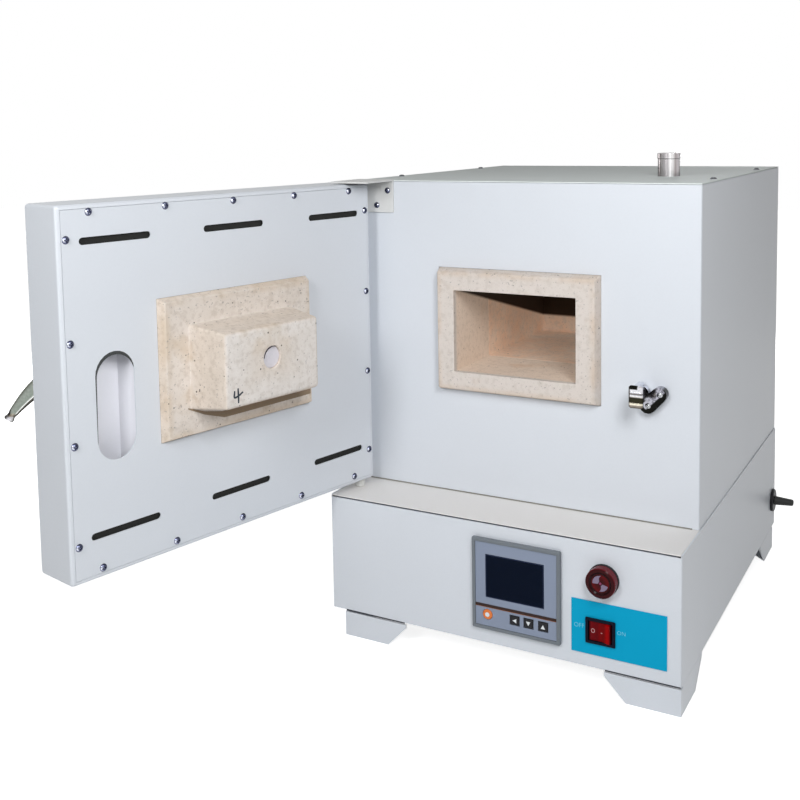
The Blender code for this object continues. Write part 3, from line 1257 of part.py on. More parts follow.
def make_controller(root, key_frames):
    """Temperature controller: case with its bezel, face, screen and four keys."""
    half = CONTROLLER_SIZE / 2
    left, top = CONTROLLER_X - half, CONTROLLER_Z + half
    front = FACE_Y - GAP - CONTROLLER_BEZEL
    case = block("controller_case", (left, front, CONTROLLER_Z - half),
                 (CONTROLLER_X + half, FACE_Y - GAP, top), BEZEL_GREY, root, edge=CONTROLLER_EDGE)
    body = CONTROLLER_BODY / 2
    tool = box_cutter("controller_body",
                      (CONTROLLER_X - body, FACE_Y - CONTROLLER_BEZEL / 2, CONTROLLER_Z - body),
                      (CONTROLLER_X + body, FACE_Y + CONTROLLER_BODY_DEPTH, CONTROLLER_Z + body), root)
    join(case, tool)
    inset = half - CONTROLLER_BORDER
    floor_y = front + CONTROLLER_RECESS + KEY_THICKNESS
    face_lo = (CONTROLLER_X - inset, front - OVERRUN, CONTROLLER_Z - inset)
    cut(case, box_cutter("face_recess", face_lo, (CONTROLLER_X + inset, floor_y, CONTROLLER_Z + inset),
                         root))
    face_front = front + CONTROLLER_RECESS - FACE_THICKNESS
    side = inset - GAP
    face = block("controller_face", (CONTROLLER_X - side, face_front, CONTROLLER_Z - side),
                 (CONTROLLER_X + side, front + CONTROLLER_RECESS, CONTROLLER_Z + side), FACE_GREY, root)
    screen_lo = (left + SCREEN_LEFT, face_front, top - SCREEN_DROP - SCREEN_HEIGHT)
    screen_hi = (left + SCREEN_LEFT + SCREEN_WIDTH, floor_y - GAP, top - SCREEN_DROP)
    window_lo = Vector(screen_lo) + Vector((-GAP, -OVERRUN, -GAP))
    window_hi = Vector(screen_hi) + Vector((GAP, OVERRUN, GAP))
    cut(face, box_cutter("screen_window", window_lo, window_hi, root))
    block("controller_screen", screen_lo, screen_hi, SCREEN_BLUE, root)
    for name, frame in key_frames.items():
        where = frame.location
        if name == "key_set":
            hole = round_cutter(name + "_hole", SET_KEY_RADIUS + GAP, OVERRUN, -OVERRUN - FACE_THICKNESS,
                                root, (where.x, face_front, where.z), axis="-Y")
        else:
            reach = KEY_SIZE / 2 + GAP
            hole = box_cutter(name + "_hole", (where.x - reach, face_front - OVERRUN, where.z - reach),
                              (where.x + reach, front + CONTROLLER_RECESS + OVERRUN, where.z + reach), root)
        cut(face, hole)
        make_key(name, frame, floor_y - KEY_PROUD - GAP)


def key_place(name):
    """Centre of a key on the controller's face."""
    left = CONTROLLER_X - CONTROLLER_SIZE / 2
    top = CONTROLLER_Z + CONTROLLER_SIZE / 2
    front = FACE_Y - GAP - CONTROLLER_BEZEL + CONTROLLER_RECESS - FACE_THICKNESS
    if name == "key_set":
        return (left + SET_KEY_CENTRE, front, top - SET_KEY_DROP)
    centre = KEY_CENTRES[("key_left", "key_down", "key_up").index(name)]
    return (left + centre, front, top - KEY_DROP)


def make_key(name, frame, back_y):
    """A key that stands a little out of the face, with room behind it for its stroke."""
    back = back_y - frame.location.y
    if name == "key_set":
        profile = [(0.0, KEY_PROUD), (SET_KEY_RADIUS - KEY_EDGE, KEY_PROUD),
                   (SET_KEY_RADIUS, KEY_PROUD - KEY_EDGE), (SET_KEY_RADIUS, -back), (0.0, -back)]
        turned(name, profile, KEY_ORANGE, frame, (0.0, 0.0, 0.0), axis="-Y")
        return
    half = KEY_SIZE / 2
    block(name, (-half, -KEY_PROUD, -half), (half, back, half), BLACK_PLASTIC, frame, edge=KEY_EDGE)


def make_alarm(root):
    """Alarm beacon: black body through the panel, and its red cap with two curved sound slots."""
    z = FOOT_HEIGHT + ALARM_RISE
    profile = [(0.0, ALARM_FLANGE + GAP), (ALARM_RADIUS, ALARM_FLANGE + GAP), (ALARM_RADIUS, GAP),
               (ALARM_BODY_RADIUS, GAP), (ALARM_BODY_RADIUS, -ALARM_BODY_DEPTH), (0.0, -ALARM_BODY_DEPTH)]
    turned("alarm_body", profile, BLACK_PLASTIC, root, (ALARM_X, FACE_Y, z), steps=FINE_STEPS, axis="-Y")
    foot_y = ALARM_FLANGE + 2 * GAP
    crown = foot_y + ALARM_LENS_HEIGHT
    dish = crown - ALARM_DISH_DEPTH
    edge = ALARM_DISH_DEPTH
    lens_profile = [(0.0, dish), (ALARM_DISH_RADIUS, dish), (ALARM_DISH_RADIUS + edge, crown),
                    (ALARM_LENS_RADIUS - edge, crown), (ALARM_LENS_RADIUS, crown - edge),
                    (ALARM_LENS_RADIUS, foot_y), (0.0, foot_y)]
    lens = turned("alarm_lens", lens_profile, ALARM_RED, root, (ALARM_X, FACE_Y, z), steps=FINE_STEPS,
                  axis="-Y")
    for index in range(2):
        start = ALARM_SLOT_START + index * math.pi
        inner_start = start + ALARM_SLOT_SWEEP * ALARM_TWIST_SHARE
        outer = arc((0.0, 0.0), ALARM_SLOT_OUTER, start, start + ALARM_SLOT_SWEEP, 5)
        inner = arc((0.0, 0.0), ALARM_SLOT_INNER, inner_start + ALARM_SLOT_SWEEP, inner_start, 4)
        cut(lens, outline_cutter("alarm_slot_%d" % index, outer + inner, ALARM_SLOT_DEPTH * 2, root,
                                 (ALARM_X, FACE_Y - dish, z)))


def make_switch(root, pivot):
    """Coloured plate, switch case and rocker."""
    half_x, half_z = PLATE_SIGN_WIDTH / 2, PLATE_SIGN_HEIGHT / 2
    plate_z = FOOT_HEIGHT + PLATE_RISE
    plate = block("switch_plate", (PLATE_X - half_x, FACE_Y - GAP - PLATE_SIGN_THICKNESS, plate_z - half_z),
                  (PLATE_X + half_x, FACE_Y - GAP, plate_z + half_z), TEAL, root)
    width, height = SWITCH_WIDTH / 2, SWITCH_HEIGHT / 2
    body_x, body_z = width - SWITCH_RIM, height - SWITCH_RIM
    front = SWITCH_FACE_Y - SWITCH_RIM_THICKNESS
    cut(plate, box_cutter("plate_window",
                          (SWITCH_X - body_x - GAP, FACE_Y - OVERRUN, SWITCH_Z - body_z - GAP),
                          (SWITCH_X + body_x + GAP, FACE_Y + OVERRUN, SWITCH_Z + body_z + GAP), root))
    case = block("switch_case", (SWITCH_X - width, front, SWITCH_Z - height),
                 (SWITCH_X + width, SWITCH_FACE_Y, SWITCH_Z + height), BLACK_PLASTIC, root, edge=SWITCH_EDGE)
    join(case, box_cutter("switch_body",
                          (SWITCH_X - body_x, SWITCH_FACE_Y - SWITCH_RIM_THICKNESS / 2, SWITCH_Z - body_z),
                          (SWITCH_X + body_x, FACE_Y + SWITCH_BODY_DEPTH, SWITCH_Z + body_z), root))
    well_x, well_z = body_x - SWITCH_RIM / 2, body_z - SWITCH_RIM / 2
    well = ROCKER_DEPTH + ROCKER_THICKNESS + 2 * well_x * math.sin(ROCKER_TILT) + GAP
    cut(case, box_cutter("rocker_well", (SWITCH_X - well_x, front - OVERRUN, SWITCH_Z - well_z),
                         (SWITCH_X + well_x, front + well, SWITCH_Z + well_z), root))
    rocker(pivot, well_x, well_z)


def rocker(pivot, half_x, half_z):
    """Rocker with a shallow crease along its middle, drawn level and then tipped to its off side."""
    reach = half_x * math.cos(ROCKER_TILT) - 2 * GAP
    rise = reach * math.tan(ROCKER_CREASE)
    depth = ROCKER_THICKNESS
    foot = reach * ROCKER_FOOT_SHARE
    section = [(-reach, -rise), (0.0, 0.0), (reach, -rise), (foot, depth - rise), (-foot, depth - rise)]
    mesh = outline_mesh("switch_rocker", section, 2 * (half_z - GAP))
    mesh.transform(Matrix.Rotation(math.radians(-90), 4, "X"))
    mesh.transform(Matrix.Rotation(-ROCKER_TILT, 4, "Z"))
    made = place("switch_rocker", mesh, ROCKER_RED, pivot, (0.0, 0.0, 0.0))
    add_bevel(made, SWITCH_EDGE)


def make_gland(root):
    """Cable gland through the right side near the rear, with the boot that grips a lead."""
    z = FOOT_HEIGHT + GLAND_RISE
    rim = GLAND_FLANGE / 3
    profile = [(0.0, GLAND_FLANGE + GAP), (GLAND_RADIUS - rim, GLAND_FLANGE + GAP),
               (GLAND_RADIUS, GLAND_FLANGE + GAP - rim), (GLAND_RADIUS, GAP), (GLAND_NECK_RADIUS, GAP),
               (GLAND_NECK_RADIUS, -GLAND_NUT_DEPTH), (0.0, -GLAND_NUT_DEPTH)]
    turned("cable_gland", profile, BLACK_PLASTIC, root, (BASE_HALF, GLAND_Y, z), axis="X")
    foot_x = GLAND_FLANGE + 2 * GAP
    tip = foot_x + BOOT_LENGTH
    nose = BOOT_TIP_RADIUS - BOOT_BORE
    profile = [(0.0, tip - BOOT_BORE_DEPTH), (BOOT_BORE, tip - BOOT_BORE_DEPTH), (BOOT_BORE, tip)]
    profile += [(BOOT_BORE + r, tip - nose + h) for r, h in arc((0.0, 0.0), nose, math.pi / 2, 0.0, 4)[1:]]
    profile += [(BOOT_ROOT_RADIUS, foot_x), (0.0, foot_x)]
    turned("gland_boot", profile, RUBBER, root, (BASE_HALF, GLAND_Y, z), steps=SMALL_STEPS, axis="X")


# Power parts

def make_power_parts(root):
    """Solid state relay on its finned sink, and the terminal strip, on the plinth's floor."""
    floor_z = FOOT_HEIGHT + SHEET + GAP
    width, depth, height = RELAY_SIZE
    x, y = RELAY_PLACE
    relay = block("relay_block", (x - width / 2, y - depth / 2, floor_z),
                  (x + width / 2, y + depth / 2, floor_z + height), ALUMINIUM, root)
    pitch = width / (RELAY_FIN_COUNT + 1)
    for index in range(RELAY_FIN_COUNT):
        centre = x - width / 2 + (index + 1) * pitch
        low = (centre - RELAY_FIN_GAP / 2, y - depth / 2 - OVERRUN, floor_z + height - RELAY_FIN_DEPTH)
        high = (centre + RELAY_FIN_GAP / 2, y + depth / 2 + OVERRUN, floor_z + height + OVERRUN)
        cut(relay, box_cutter("fin_gap_%d" % index, low, high, root))
    width, depth, height = TERMINAL_SIZE
    x, y = TERMINAL_PLACE
    strip = block("terminal_strip", (x - width / 2, y - depth / 2, floor_z),
                  (x + width / 2, y + depth / 2, floor_z + height), BLACK_PLASTIC, root)
    pitch = width / TERMINAL_WAYS
    for index in range(TERMINAL_WAYS):
        centre = x - width / 2 + (index + 0.5) * pitch
        cut(strip, box_cutter("terminal_%d" % index,
                              (centre - TERMINAL_SLOT / 2, y - depth / 2 - OVERRUN, floor_z + height / 2),
                              (centre + TERMINAL_SLOT / 2, y, floor_z + height + OVERRUN), root))


# Assembly

def empty(name, parent, where, turn=0.0):
    """An axis or a frame that pieces hang on."""
    made = bpy.data.objects.new(name, None)
    PARTS.objects.link(made)
    made.parent = parent
    made.location = where
    made.rotation_euler = (0.0, 0.0, turn)
    return made


def centre_on_footprint(root):
    """Slides the whole model so that its origin is the middle of its footprint."""
    bpy.context.view_layer.update()
    graph = bpy.context.evaluated_depsgraph_get()
    points = []
    for piece in PARTS.objects:
        if piece.type == "MESH":
            solid = piece.evaluated_get(graph)
            points += [piece.matrix_world @ vert.co for vert in solid.data.vertices]
    for axis in (0, 1):
        values = [point[axis] for point in points]
        root.location[axis] = -(min(values) + max(values)) / 2


def build():
    """Builds the furnace."""
    root = empty("furnace", None, (0.0, 0.0, 0.0))
    hinge = empty("door_hinge", root, (PIVOT_X, PIVOT_Y, 0.0), -OPEN_ANGLE)
    spindle_at = door_point(SPINDLE_U, 0.0, SPINDLE_Z)
    spindle = empty("latch_axis", hinge, (spindle_at.x, 0.0, spindle_at.z))
    rocker_y = SWITCH_FACE_Y - SWITCH_RIM_THICKNESS + ROCKER_DEPTH
    rocker_pivot = empty("rocker_axis", root, (SWITCH_X, rocker_y, SWITCH_Z))
    names = ("key_left", "key_down", "key_up", "key_set")
    key_frames = {name: empty(name + "_axis", root, key_place(name)) for name in names}
    make_casing(root)
    make_base(root)
    make_chamber(root)
    make_hinge(root)
    make_door(hinge)
    make_latch(spindle)
    latch_strike(root)
    make_controller(root, key_frames)
    make_alarm(root)
    make_switch(root, rocker_pivot)
    make_gland(root)
    make_power_parts(root)
    centre_on_footprint(root)
    bpy.context.view_layer.update()


build()
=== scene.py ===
# %% [markdown]
# # Dressing the ashing furnace
# A bench furnace of painted sheet steel, its door open on a chamber of firebrick. The solid model
# comes in as a fixed frame: every piece made here is placed in that same frame, in metres, and rides
# on one of its bodies, so the door, the latch, the rocker and the keys still move.

# %% Load the frame
import json
import math

import bmesh
import bpy
import numpy as np
from mathutils import Matrix, Vector
from mathutils.bvhtree import BVHTree


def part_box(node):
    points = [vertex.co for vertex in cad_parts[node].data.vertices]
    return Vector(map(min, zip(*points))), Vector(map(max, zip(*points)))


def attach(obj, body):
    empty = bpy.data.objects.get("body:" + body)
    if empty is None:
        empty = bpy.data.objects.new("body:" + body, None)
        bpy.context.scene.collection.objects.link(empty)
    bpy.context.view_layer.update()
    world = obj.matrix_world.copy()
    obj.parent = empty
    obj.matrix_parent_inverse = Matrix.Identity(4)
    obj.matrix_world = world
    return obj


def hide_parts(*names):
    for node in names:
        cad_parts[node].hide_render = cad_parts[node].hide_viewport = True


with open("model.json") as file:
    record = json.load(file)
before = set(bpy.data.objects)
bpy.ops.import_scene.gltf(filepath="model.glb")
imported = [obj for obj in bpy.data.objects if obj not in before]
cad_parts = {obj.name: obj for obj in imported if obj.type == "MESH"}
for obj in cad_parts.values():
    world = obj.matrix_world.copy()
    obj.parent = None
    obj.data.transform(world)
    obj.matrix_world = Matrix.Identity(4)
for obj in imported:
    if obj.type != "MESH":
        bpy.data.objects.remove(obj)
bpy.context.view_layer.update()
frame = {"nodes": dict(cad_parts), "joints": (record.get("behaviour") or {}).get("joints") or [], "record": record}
MM = 0.001

# %% [markdown]
# ## Places
# Two places fix everything else, the middle of the casing's front at bench height and the hinge's
# axis. They are read from the frame, so nothing is typed twice. On the door a place is given by u,
# counted from the hinge edge, by w, counted outwards from the inner face, and by height above the
# lower edge. The door stands turned about its hinge, so its own axes are worked out once.

# %% Places and axes


def corners(node):
    """The low and the high corner of a node's box, as arrays."""
    return [np.array(corner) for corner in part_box(node)]


wrap_low, wrap_high = corners("casing_wrap")
FRONT = np.array([(wrap_low[0] + wrap_high[0]) / 2, wrap_low[1], 0.0])
door_hinge = next(joint for joint in frame["joints"] if joint["name"] == "door_hinge")
HINGE = np.array(door_hinge["pos_m"]) * (1, 1, 0)
OPEN_ANGLE = math.radians(-door_hinge["range_deg"][1])
ALONG = np.array([math.cos(OPEN_ANGLE), math.sin(OPEN_ANGLE), 0.0])
INWARD = np.array([-math.sin(OPEN_ANGLE), math.cos(OPEN_ANGLE), 0.0])
RIGHT, UP = np.array([1.0, 0.0, 0.0]), np.array([0.0, 0.0, 1.0])
PIVOT_U, PIVOT_W = 13 * MM, 10 * MM  # the hinge's axis, seen from the door
DOOR_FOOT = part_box("door_shell")[0][2]


def at_casing(x, y, z):
    """A point counted from the middle of the casing's front, at bench height."""
    return FRONT + (x, y, z)


def at_door(u, w, z):
    """A point of the door: u along it, w outwards from its inner face, z above its lower edge."""
    return HINGE + ALONG * (u - PIVOT_U) + INWARD * (PIVOT_W - w) + UP * (DOOR_FOOT + z)


print("door stands", round(-math.degrees(OPEN_ANGLE), 1), "degrees open, its foot at", DOOR_FOOT)

# %% [markdown]
# ## Camera
# The photograph's own straight edges give the camera: its place, its heading, a slight roll, and a
# vertical shift, because the lens pointed a little above the furnace. The three axes below are unit
# vectors, written as rows, and become the columns of the camera's matrix.

# %% Camera
CAMERA_AT = (0.4411, -1.0485, 0.56105)
CAMERA_RIGHT = (0.87527, 0.48335, -0.01642)
CAMERA_UP = (-0.02945, 0.08715, 0.99576)
CAMERA_AHEAD = (-0.48273, 0.87108, -0.09052)
LENS_MM, SENSOR_MM = 48.63, 36
SHIFT_Y = -0.21875

lens = bpy.data.cameras.new("camera")
lens.lens, lens.sensor_width, lens.shift_y = LENS_MM, SENSOR_MM, SHIFT_Y
lens.clip_start = 10 * MM
camera = bpy.data.objects.new("camera", lens)
bpy.context.scene.collection.objects.link(camera)
turn = Matrix((CAMERA_RIGHT, CAMERA_UP, -Vector(CAMERA_AHEAD))).transposed().to_4x4()
camera.matrix_world = Matrix.Translation(at_casing(*CAMERA_AT)) @ turn
bpy.context.scene.camera = camera
print("camera at", [round(v, 4) for v in camera.location])

# %% [markdown]
# ## Shader helpers
# A material is a small graph of nodes. These helpers keep the graphs short to write. The first ones
# add a node and fill its sockets, the next take one step of arithmetic or draw a noise, and the last
# open a group or a material. A colour is written as it looks on screen, from 0 to 255, and is turned
# into the linear value that the renderer wants.

# %% Nodes and sockets


def screen(red, green, blue):
    """A colour as seen on screen, made linear: (c + 0.055) / 1.055 to the power 2.4 above 0.04."""
    values = np.array([red, green, blue]) / 255
    low = values / 12.92
    high = ((values + 0.055) / 1.055) ** 2.4
    return (*np.where(values <= 0.04045, low, high).tolist(), 1.0)


def fill(tree, node, values):
    """Fills a node's sockets by name or number: a socket is linked, any other value is set."""
    for key, value in values.items():
        if isinstance(value, bpy.types.NodeSocket):
            tree.links.new(value, node.inputs[key])
        else:
            node.inputs[key].default_value = value
    return node


def add(tree, kind, values=(), **settings):
    """Adds a node, sets its settings and fills its sockets."""
    node = tree.nodes.new(kind)
    for key, value in settings.items():
        setattr(node, key, value)
    return fill(tree, node, dict(values))


def spaced(values):
    """Keyword names as socket names: an underscore stands for a space."""
    return {key.replace("_", " "): value for key, value in values.items()}


print("white on screen is", screen(255, 255, 255))

# %% Steps of a graph


def calculate(tree, operation, *values):
    """One step of arithmetic on the values."""
    return add(tree, "ShaderNodeMath", enumerate(values), operation=operation).outputs[0]


def vectors(tree, operation, *values):
    """One step on vectors. A length, a distance or a dot product comes out as a plain value."""
    node = add(tree, "ShaderNodeVectorMath", enumerate(values), operation=operation)
    return node.outputs["Value" if operation in ("LENGTH", "DISTANCE", "DOT_PRODUCT") else "Vector"]


def scaled(tree, vector, factor):
    """A vector or a colour times a factor."""
    return add(tree, "ShaderNodeVectorMath", {0: vector, "Scale": factor}, operation="SCALE").outputs[0]


def split(tree, vector):
    """The X, Y and Z of a vector."""
    return add(tree, "ShaderNodeSeparateXYZ", {0: vector}).outputs


def ramp(tree, value, low, high, start=0.0, end=1.0):
    """Maps a value from low..high to start..end, smoothly and without passing either end."""
    return add(tree, "ShaderNodeMapRange", enumerate((value, low, high, start, end)),
               interpolation_type="SMOOTHSTEP").outputs[0]


print("steps ready for", bpy.app.version_string)

# %% What a graph reads and mixes


def blend_colours(tree, mask, first, second):
    """Goes from the first colour to the second as the mask goes from 0 to 1."""
    return add(tree, "ShaderNodeMix", {0: mask, 6: first, 7: second}, data_type="RGBA").outputs[2]


def noise(tree, place, scale, detail):
    """Cloudy noise about 0.5, scale in cells per metre."""
    return add(tree, "ShaderNodeTexNoise", {"Vector": place, "Scale": scale, "Detail": detail}).outputs[0]


def object_place(tree):
    """Where the point lies on its own piece, in metres."""
    return tree.nodes.new("ShaderNodeTexCoord").outputs["Object"]


def attribute(tree, name):
    """A value that the piece keeps on its own mesh."""
    return add(tree, "ShaderNodeAttribute", attribute_name=name).outputs["Fac"]


print("helpers ready")

# %% Groups and materials
FLOAT, COLOUR, VECTOR = "NodeSocketFloat", "NodeSocketColor", "NodeSocketVector"


def new_group(name, inputs, outputs):
    """A node group with named sockets: an input is (name, kind, value), an output (name, kind)."""
    tree = bpy.data.node_groups.new(name, "ShaderNodeTree")
    for title, kind, value in inputs:
        socket = tree.interface.new_socket(title, in_out="INPUT", socket_type=kind)
        if value is not None:
            socket.default_value = value
    for title, kind in outputs:
        tree.interface.new_socket(title, in_out="OUTPUT", socket_type=kind)
    return tree, tree.nodes.new("NodeGroupInput").outputs, tree.nodes.new("NodeGroupOutput")


def use_group(tree, group, **values):
    """Places a group in a material; keyword names stand for the group's sockets."""
    return add(tree, "ShaderNodeGroup", spaced(values), node_tree=group).outputs


def new_material(name, **values):
    """A material with its Principled shader; keyword names stand for the shader's sockets."""
    material = bpy.data.materials.new(name)
    material.use_nodes = True
    tree = material.node_tree
    return material, tree, fill(tree, tree.nodes["Principled BSDF"], spaced(values))


def bumped(tree, height, strength, depth):
    """A normal tilted by a height, its depth in metres."""
    values = {"Height": height, "Strength": strength, "Distance": depth}
    return add(tree, "ShaderNodeBump", values).outputs[0]


def dress(tree, shader, out, strength=0.0, depth=0.0):
    """Links a group's colour and roughness to the shader and, where a strength is given, its height."""
    fill(tree, shader, {"Base Color": out["Colour"], "Roughness": out["Roughness"]})
    if strength:
        fill(tree, shader, {"Normal": bumped(tree, out["Height"], strength, depth)})


print("sockets of a group:", FLOAT, COLOUR, VECTOR)

# %% [markdown]
# ## Effects that several finishes share
# Four groups carry the fine detail. The first is the orange peel of sprayed paint and the grain of
# moulded plastic: one noise that shifts the tone and the gloss a little and lifts the surface. The
# second draws the face of firebrick, with sand grains, pinholes and warm iron stains. The third is
# drawn metal: noise stretched along one direction, which reads as fine lines. The fourth marks what
# lies near an edge of a box, where the brick's stains gather.

# %% Grain group
grain, given, result = new_group(
    "surface_grain",
    [("Colour", COLOUR, (0.8, 0.8, 0.8, 1)), ("Cells", FLOAT, 600.0), ("Tone", FLOAT, 0.02),
     ("Gloss", FLOAT, 0.35), ("Gloss drift", FLOAT, 0.05)],
    [("Colour", COLOUR), ("Roughness", FLOAT), ("Height", FLOAT)])
place = object_place(grain)
fine, broad = noise(grain, place, given["Cells"], 2.0), noise(grain, place, 9.0, 3.0)
swing = calculate(grain, "SUBTRACT", calculate(grain, "ADD", fine, broad), 1.0)
level = calculate(grain, "ADD", calculate(grain, "MULTIPLY", swing, given["Tone"]), 1.0)
drift = calculate(grain, "MULTIPLY", calculate(grain, "SUBTRACT", broad, 0.5), given["Gloss drift"])
fill(grain, result, {"Colour": scaled(grain, given["Colour"], level),
                     "Roughness": calculate(grain, "ADD", drift, given["Gloss"]), "Height": fine})
print("group", grain.name)

# %% Firebrick group
brick, given, result = new_group(
    "firebrick_face",
    [("Place", VECTOR, None), ("Body", COLOUR, (0.7, 0.6, 0.5, 1)), ("Stain", COLOUR, (0.6, 0.4, 0.25, 1)),
     ("Stain amount", FLOAT, 0.5), ("Edge", FLOAT, 0.0), ("Pits", FLOAT, 0.16)],
    [("Colour", COLOUR), ("Height", FLOAT)])
sand, cloud, patch, mottle, specks = (
    noise(brick, given["Place"], scale, detail)
    for scale, detail in ((700.0, 3.0), (55.0, 4.0), (24.0, 3.0), (190.0, 3.0), (420.0, 1.0)))

# A pinhole is the middle of a cell whose own random value is low enough.
cells = add(brick, "ShaderNodeTexVoronoi", {"Vector": given["Place"], "Scale": 190.0}, feature="F1").outputs
random = add(brick, "ShaderNodeSeparateColor", {0: cells["Color"]}).outputs
size = ramp(brick, random[1], 0.0, 1.0, 0.06, 0.20)
inside = ramp(brick, calculate(brick, "DIVIDE", cells["Distance"], size), 0.6, 1.1, 1.0, 0.0)
pit = calculate(brick, "MULTIPLY", inside, calculate(brick, "LESS_THAN", random[0], given["Pits"]))

# Stains come in rare patches on a face, and in far more of them near an edge.
at_edge = calculate(brick, "MULTIPLY", given["Edge"], ramp(brick, patch, 0.30, 0.62))
warm = calculate(brick, "MULTIPLY", calculate(brick, "MAXIMUM", ramp(brick, patch, 0.56, 0.78), at_edge),
                 given["Stain amount"])
colour = given["Body"]
for mask, tone in ((ramp(brick, cloud, 0.3, 0.7, 0.0, 0.45), (0.72, 0.66, 0.60, 1)),
                   (ramp(brick, mottle, 0.45, 0.70, 0.0, 0.5), (0.60, 0.53, 0.47, 1)),
                   (warm, given["Stain"]),
                   (ramp(brick, sand, 0.58, 0.75, 0.0, 0.28), (0.42, 0.31, 0.23, 1)),
                   (ramp(brick, specks, 0.66, 0.76, 0.0, 0.5), (0.24, 0.21, 0.20, 1)),
                   (calculate(brick, "MULTIPLY", pit, 0.85), (0.07, 0.045, 0.035, 1))):
    colour = blend_colours(brick, mask, colour, tone)
rough = calculate(brick, "MULTIPLY", calculate(brick, "ADD", sand, cloud), 0.35)
fill(brick, result, {"Colour": colour, "Height": calculate(brick, "SUBTRACT", rough, pit)})
print("group", brick.name)

# %% Drawn metal group
drawn, given, result = new_group(
    "drawn_metal",
    [("Place", VECTOR, None), ("Colour", COLOUR, (0.6, 0.6, 0.6, 1)), ("Gloss", FLOAT, 0.25),
     ("Lines", VECTOR, (900.0, 900.0, 30.0))],
    [("Colour", COLOUR), ("Roughness", FLOAT), ("Height", FLOAT)])
lines = noise(drawn, vectors(drawn, "MULTIPLY", given["Place"], given["Lines"]), 1.0, 3.0)
level = ramp(drawn, lines, 0.25, 0.75, 0.86, 1.08)
spread = calculate(drawn, "MULTIPLY", calculate(drawn, "SUBTRACT", lines, 0.5), 0.16)
fill(drawn, result, {"Colour": scaled(drawn, given["Colour"], level),
                     "Roughness": calculate(drawn, "ADD", spread, given["Gloss"]), "Height": lines})
print("group", drawn.name)

# %% Edge group
near_edge, given, result = new_group(
    "near_edge",
    [("Place", VECTOR, None), ("Half size", VECTOR, (0.1, 0.1, 0.1)), ("Width", FLOAT, 0.004)],
    [("Mask", FLOAT)])
away = vectors(near_edge, "SUBTRACT", given["Half size"], vectors(near_edge, "ABSOLUTE", given["Place"]))
away = split(near_edge, vectors(near_edge, "ABSOLUTE", away))
share = calculate(near_edge, "DIVIDE", calculate(near_edge, "MINIMUM", away[0], away[2]), given["Width"])
fill(near_edge, result, {"Mask": ramp(near_edge, share, 0.0, 1.0, 1.0, 0.0)})
print("group", near_edge.name)

# %% [markdown]
# ## Finishes
# Painted sheet, fibre, plastic, print and rubber differ only in colour, gloss and the size of their
# grain, so one maker covers them. A bump node turns the group's height into a tilt of the surface;
# its distance is the real depth of the grain.

# %% Paints
GLOSS_DRIFT = 0.06


def grained(name, colour, cells, gloss, depth, tone=0.03, strength=0.4, specular=0.5, metallic=0.0):
    """A finish with the surface grain: cells per metre, gloss as roughness, depth in millimetres."""
    material, tree, shader = new_material(name, Specular_IOR_Level=specular, Metallic=metallic)
    out = use_group(tree, grain, Colour=screen(*colour), Cells=cells, Tone=tone, Gloss=gloss,
                    Gloss_drift=GLOSS_DRIFT)
    dress(tree, shader, out, strength, depth * MM)
    return material


body_paint = grained("white_powder_paint", (222, 226, 232), 420, 0.42, 0.04)
door_paint = grained("white_door_paint", (222, 226, 232), 420, 0.40, 0.04)
# Painted light: the hinge bracket's paint is lighter than its real tone, so that it holds its tone in the shade of
# its own top flange.
lit_bracket_paint = grained("bracket_paint_lit_against_shade", (222, 222, 220), 420, 0.45, 0.04)
tray_paint = grained("inner_tray_paint", (190, 192, 192), 420, 0.5, 0.04)
# Painted light: the top cover has the casing's white paint, made lighter here so that the top, which the lamps
# barely reach, holds its tone.
lit_top_paint = grained("white_top_paint_lit", (240, 246, 244), 420, 0.6, 0.04, specular=0.15)
# Painted light: the latch pocket has the door's white paint, made lighter here against the shade inside the
# pocket.
lit_pocket_paint = grained("white_pocket_paint_lit", (246, 246, 252), 420, 0.45, 0.04)
ledge_paint = grained("white_ledge_paint", (234, 231, 228), 420, 0.45, 0.04)
teal_paint = grained("teal_plate_paint", (12, 168, 210), 700, 0.4, 0.02, specular=0.05)
pin_paint = grained("pale_pin_paint", (222, 222, 218), 600, 0.4, 0.03)
print("paints", len(bpy.data.materials))

# %% Fibre, rubber and strips of painted shade
fibre_board = grained("pressed_fibre", (226, 222, 214), 260, 0.95, 0.6, tone=0.08, strength=0.8)
# Painted shade: the door's fibre is painted near black, so that the door's slots read as dark as they do in shade.
slot_shade_fibre = grained("fibre_painted_dark_for_slot_shade", (34, 34, 32), 300, 0.95, 0.8, tone=0.2, strength=0.8)
white_fibre = grained("white_fibre_stopper", (226, 222, 228), 500, 0.95, 0.5, tone=0.06, strength=0.8)
# Painted shade: dark strips put in the seams above the front feet and under the ledge's front edge, where shade
# falls.
foot_seam_shade = grained("painted_foot_seam_shade", (48, 50, 60), 900, 0.8, 0.03, tone=0.1)
ledge_seam_shade = grained("painted_ledge_seam_shade", (96, 100, 112), 900, 0.8, 0.03, tone=0.1)
olive_seam = grained("olive_seam_bead", (132, 130, 122), 900, 0.8, 0.03, tone=0.1)
# Painted shade: a dark strip inside the rim of the latch pocket's mouth, where shade falls.
pocket_rim_shade = grained("painted_pocket_rim_shade", (62, 64, 64), 600, 0.9, 0.03, tone=0.2)
# Painted shadows on the door's brick: a brown line below the plug and a dark crescent round the stopper.
plug_shadow_paint = grained("painted_plug_shadow", (148, 128, 106), 600, 0.9, 0.03, tone=0.2)
shade_brown = grained("painted_stopper_shade", (58, 48, 48), 600, 0.9, 0.03, tone=0.2)
rubber = grained("black_rubber", (28, 28, 27), 900, 0.6, 0.06, tone=0.1)
wire_metal = grained("heater_wire_oxide", (104, 92, 82), 1200, 0.6, 0.06, tone=0.2, metallic=0.8)
print("with fibre and rubber", len(bpy.data.materials))

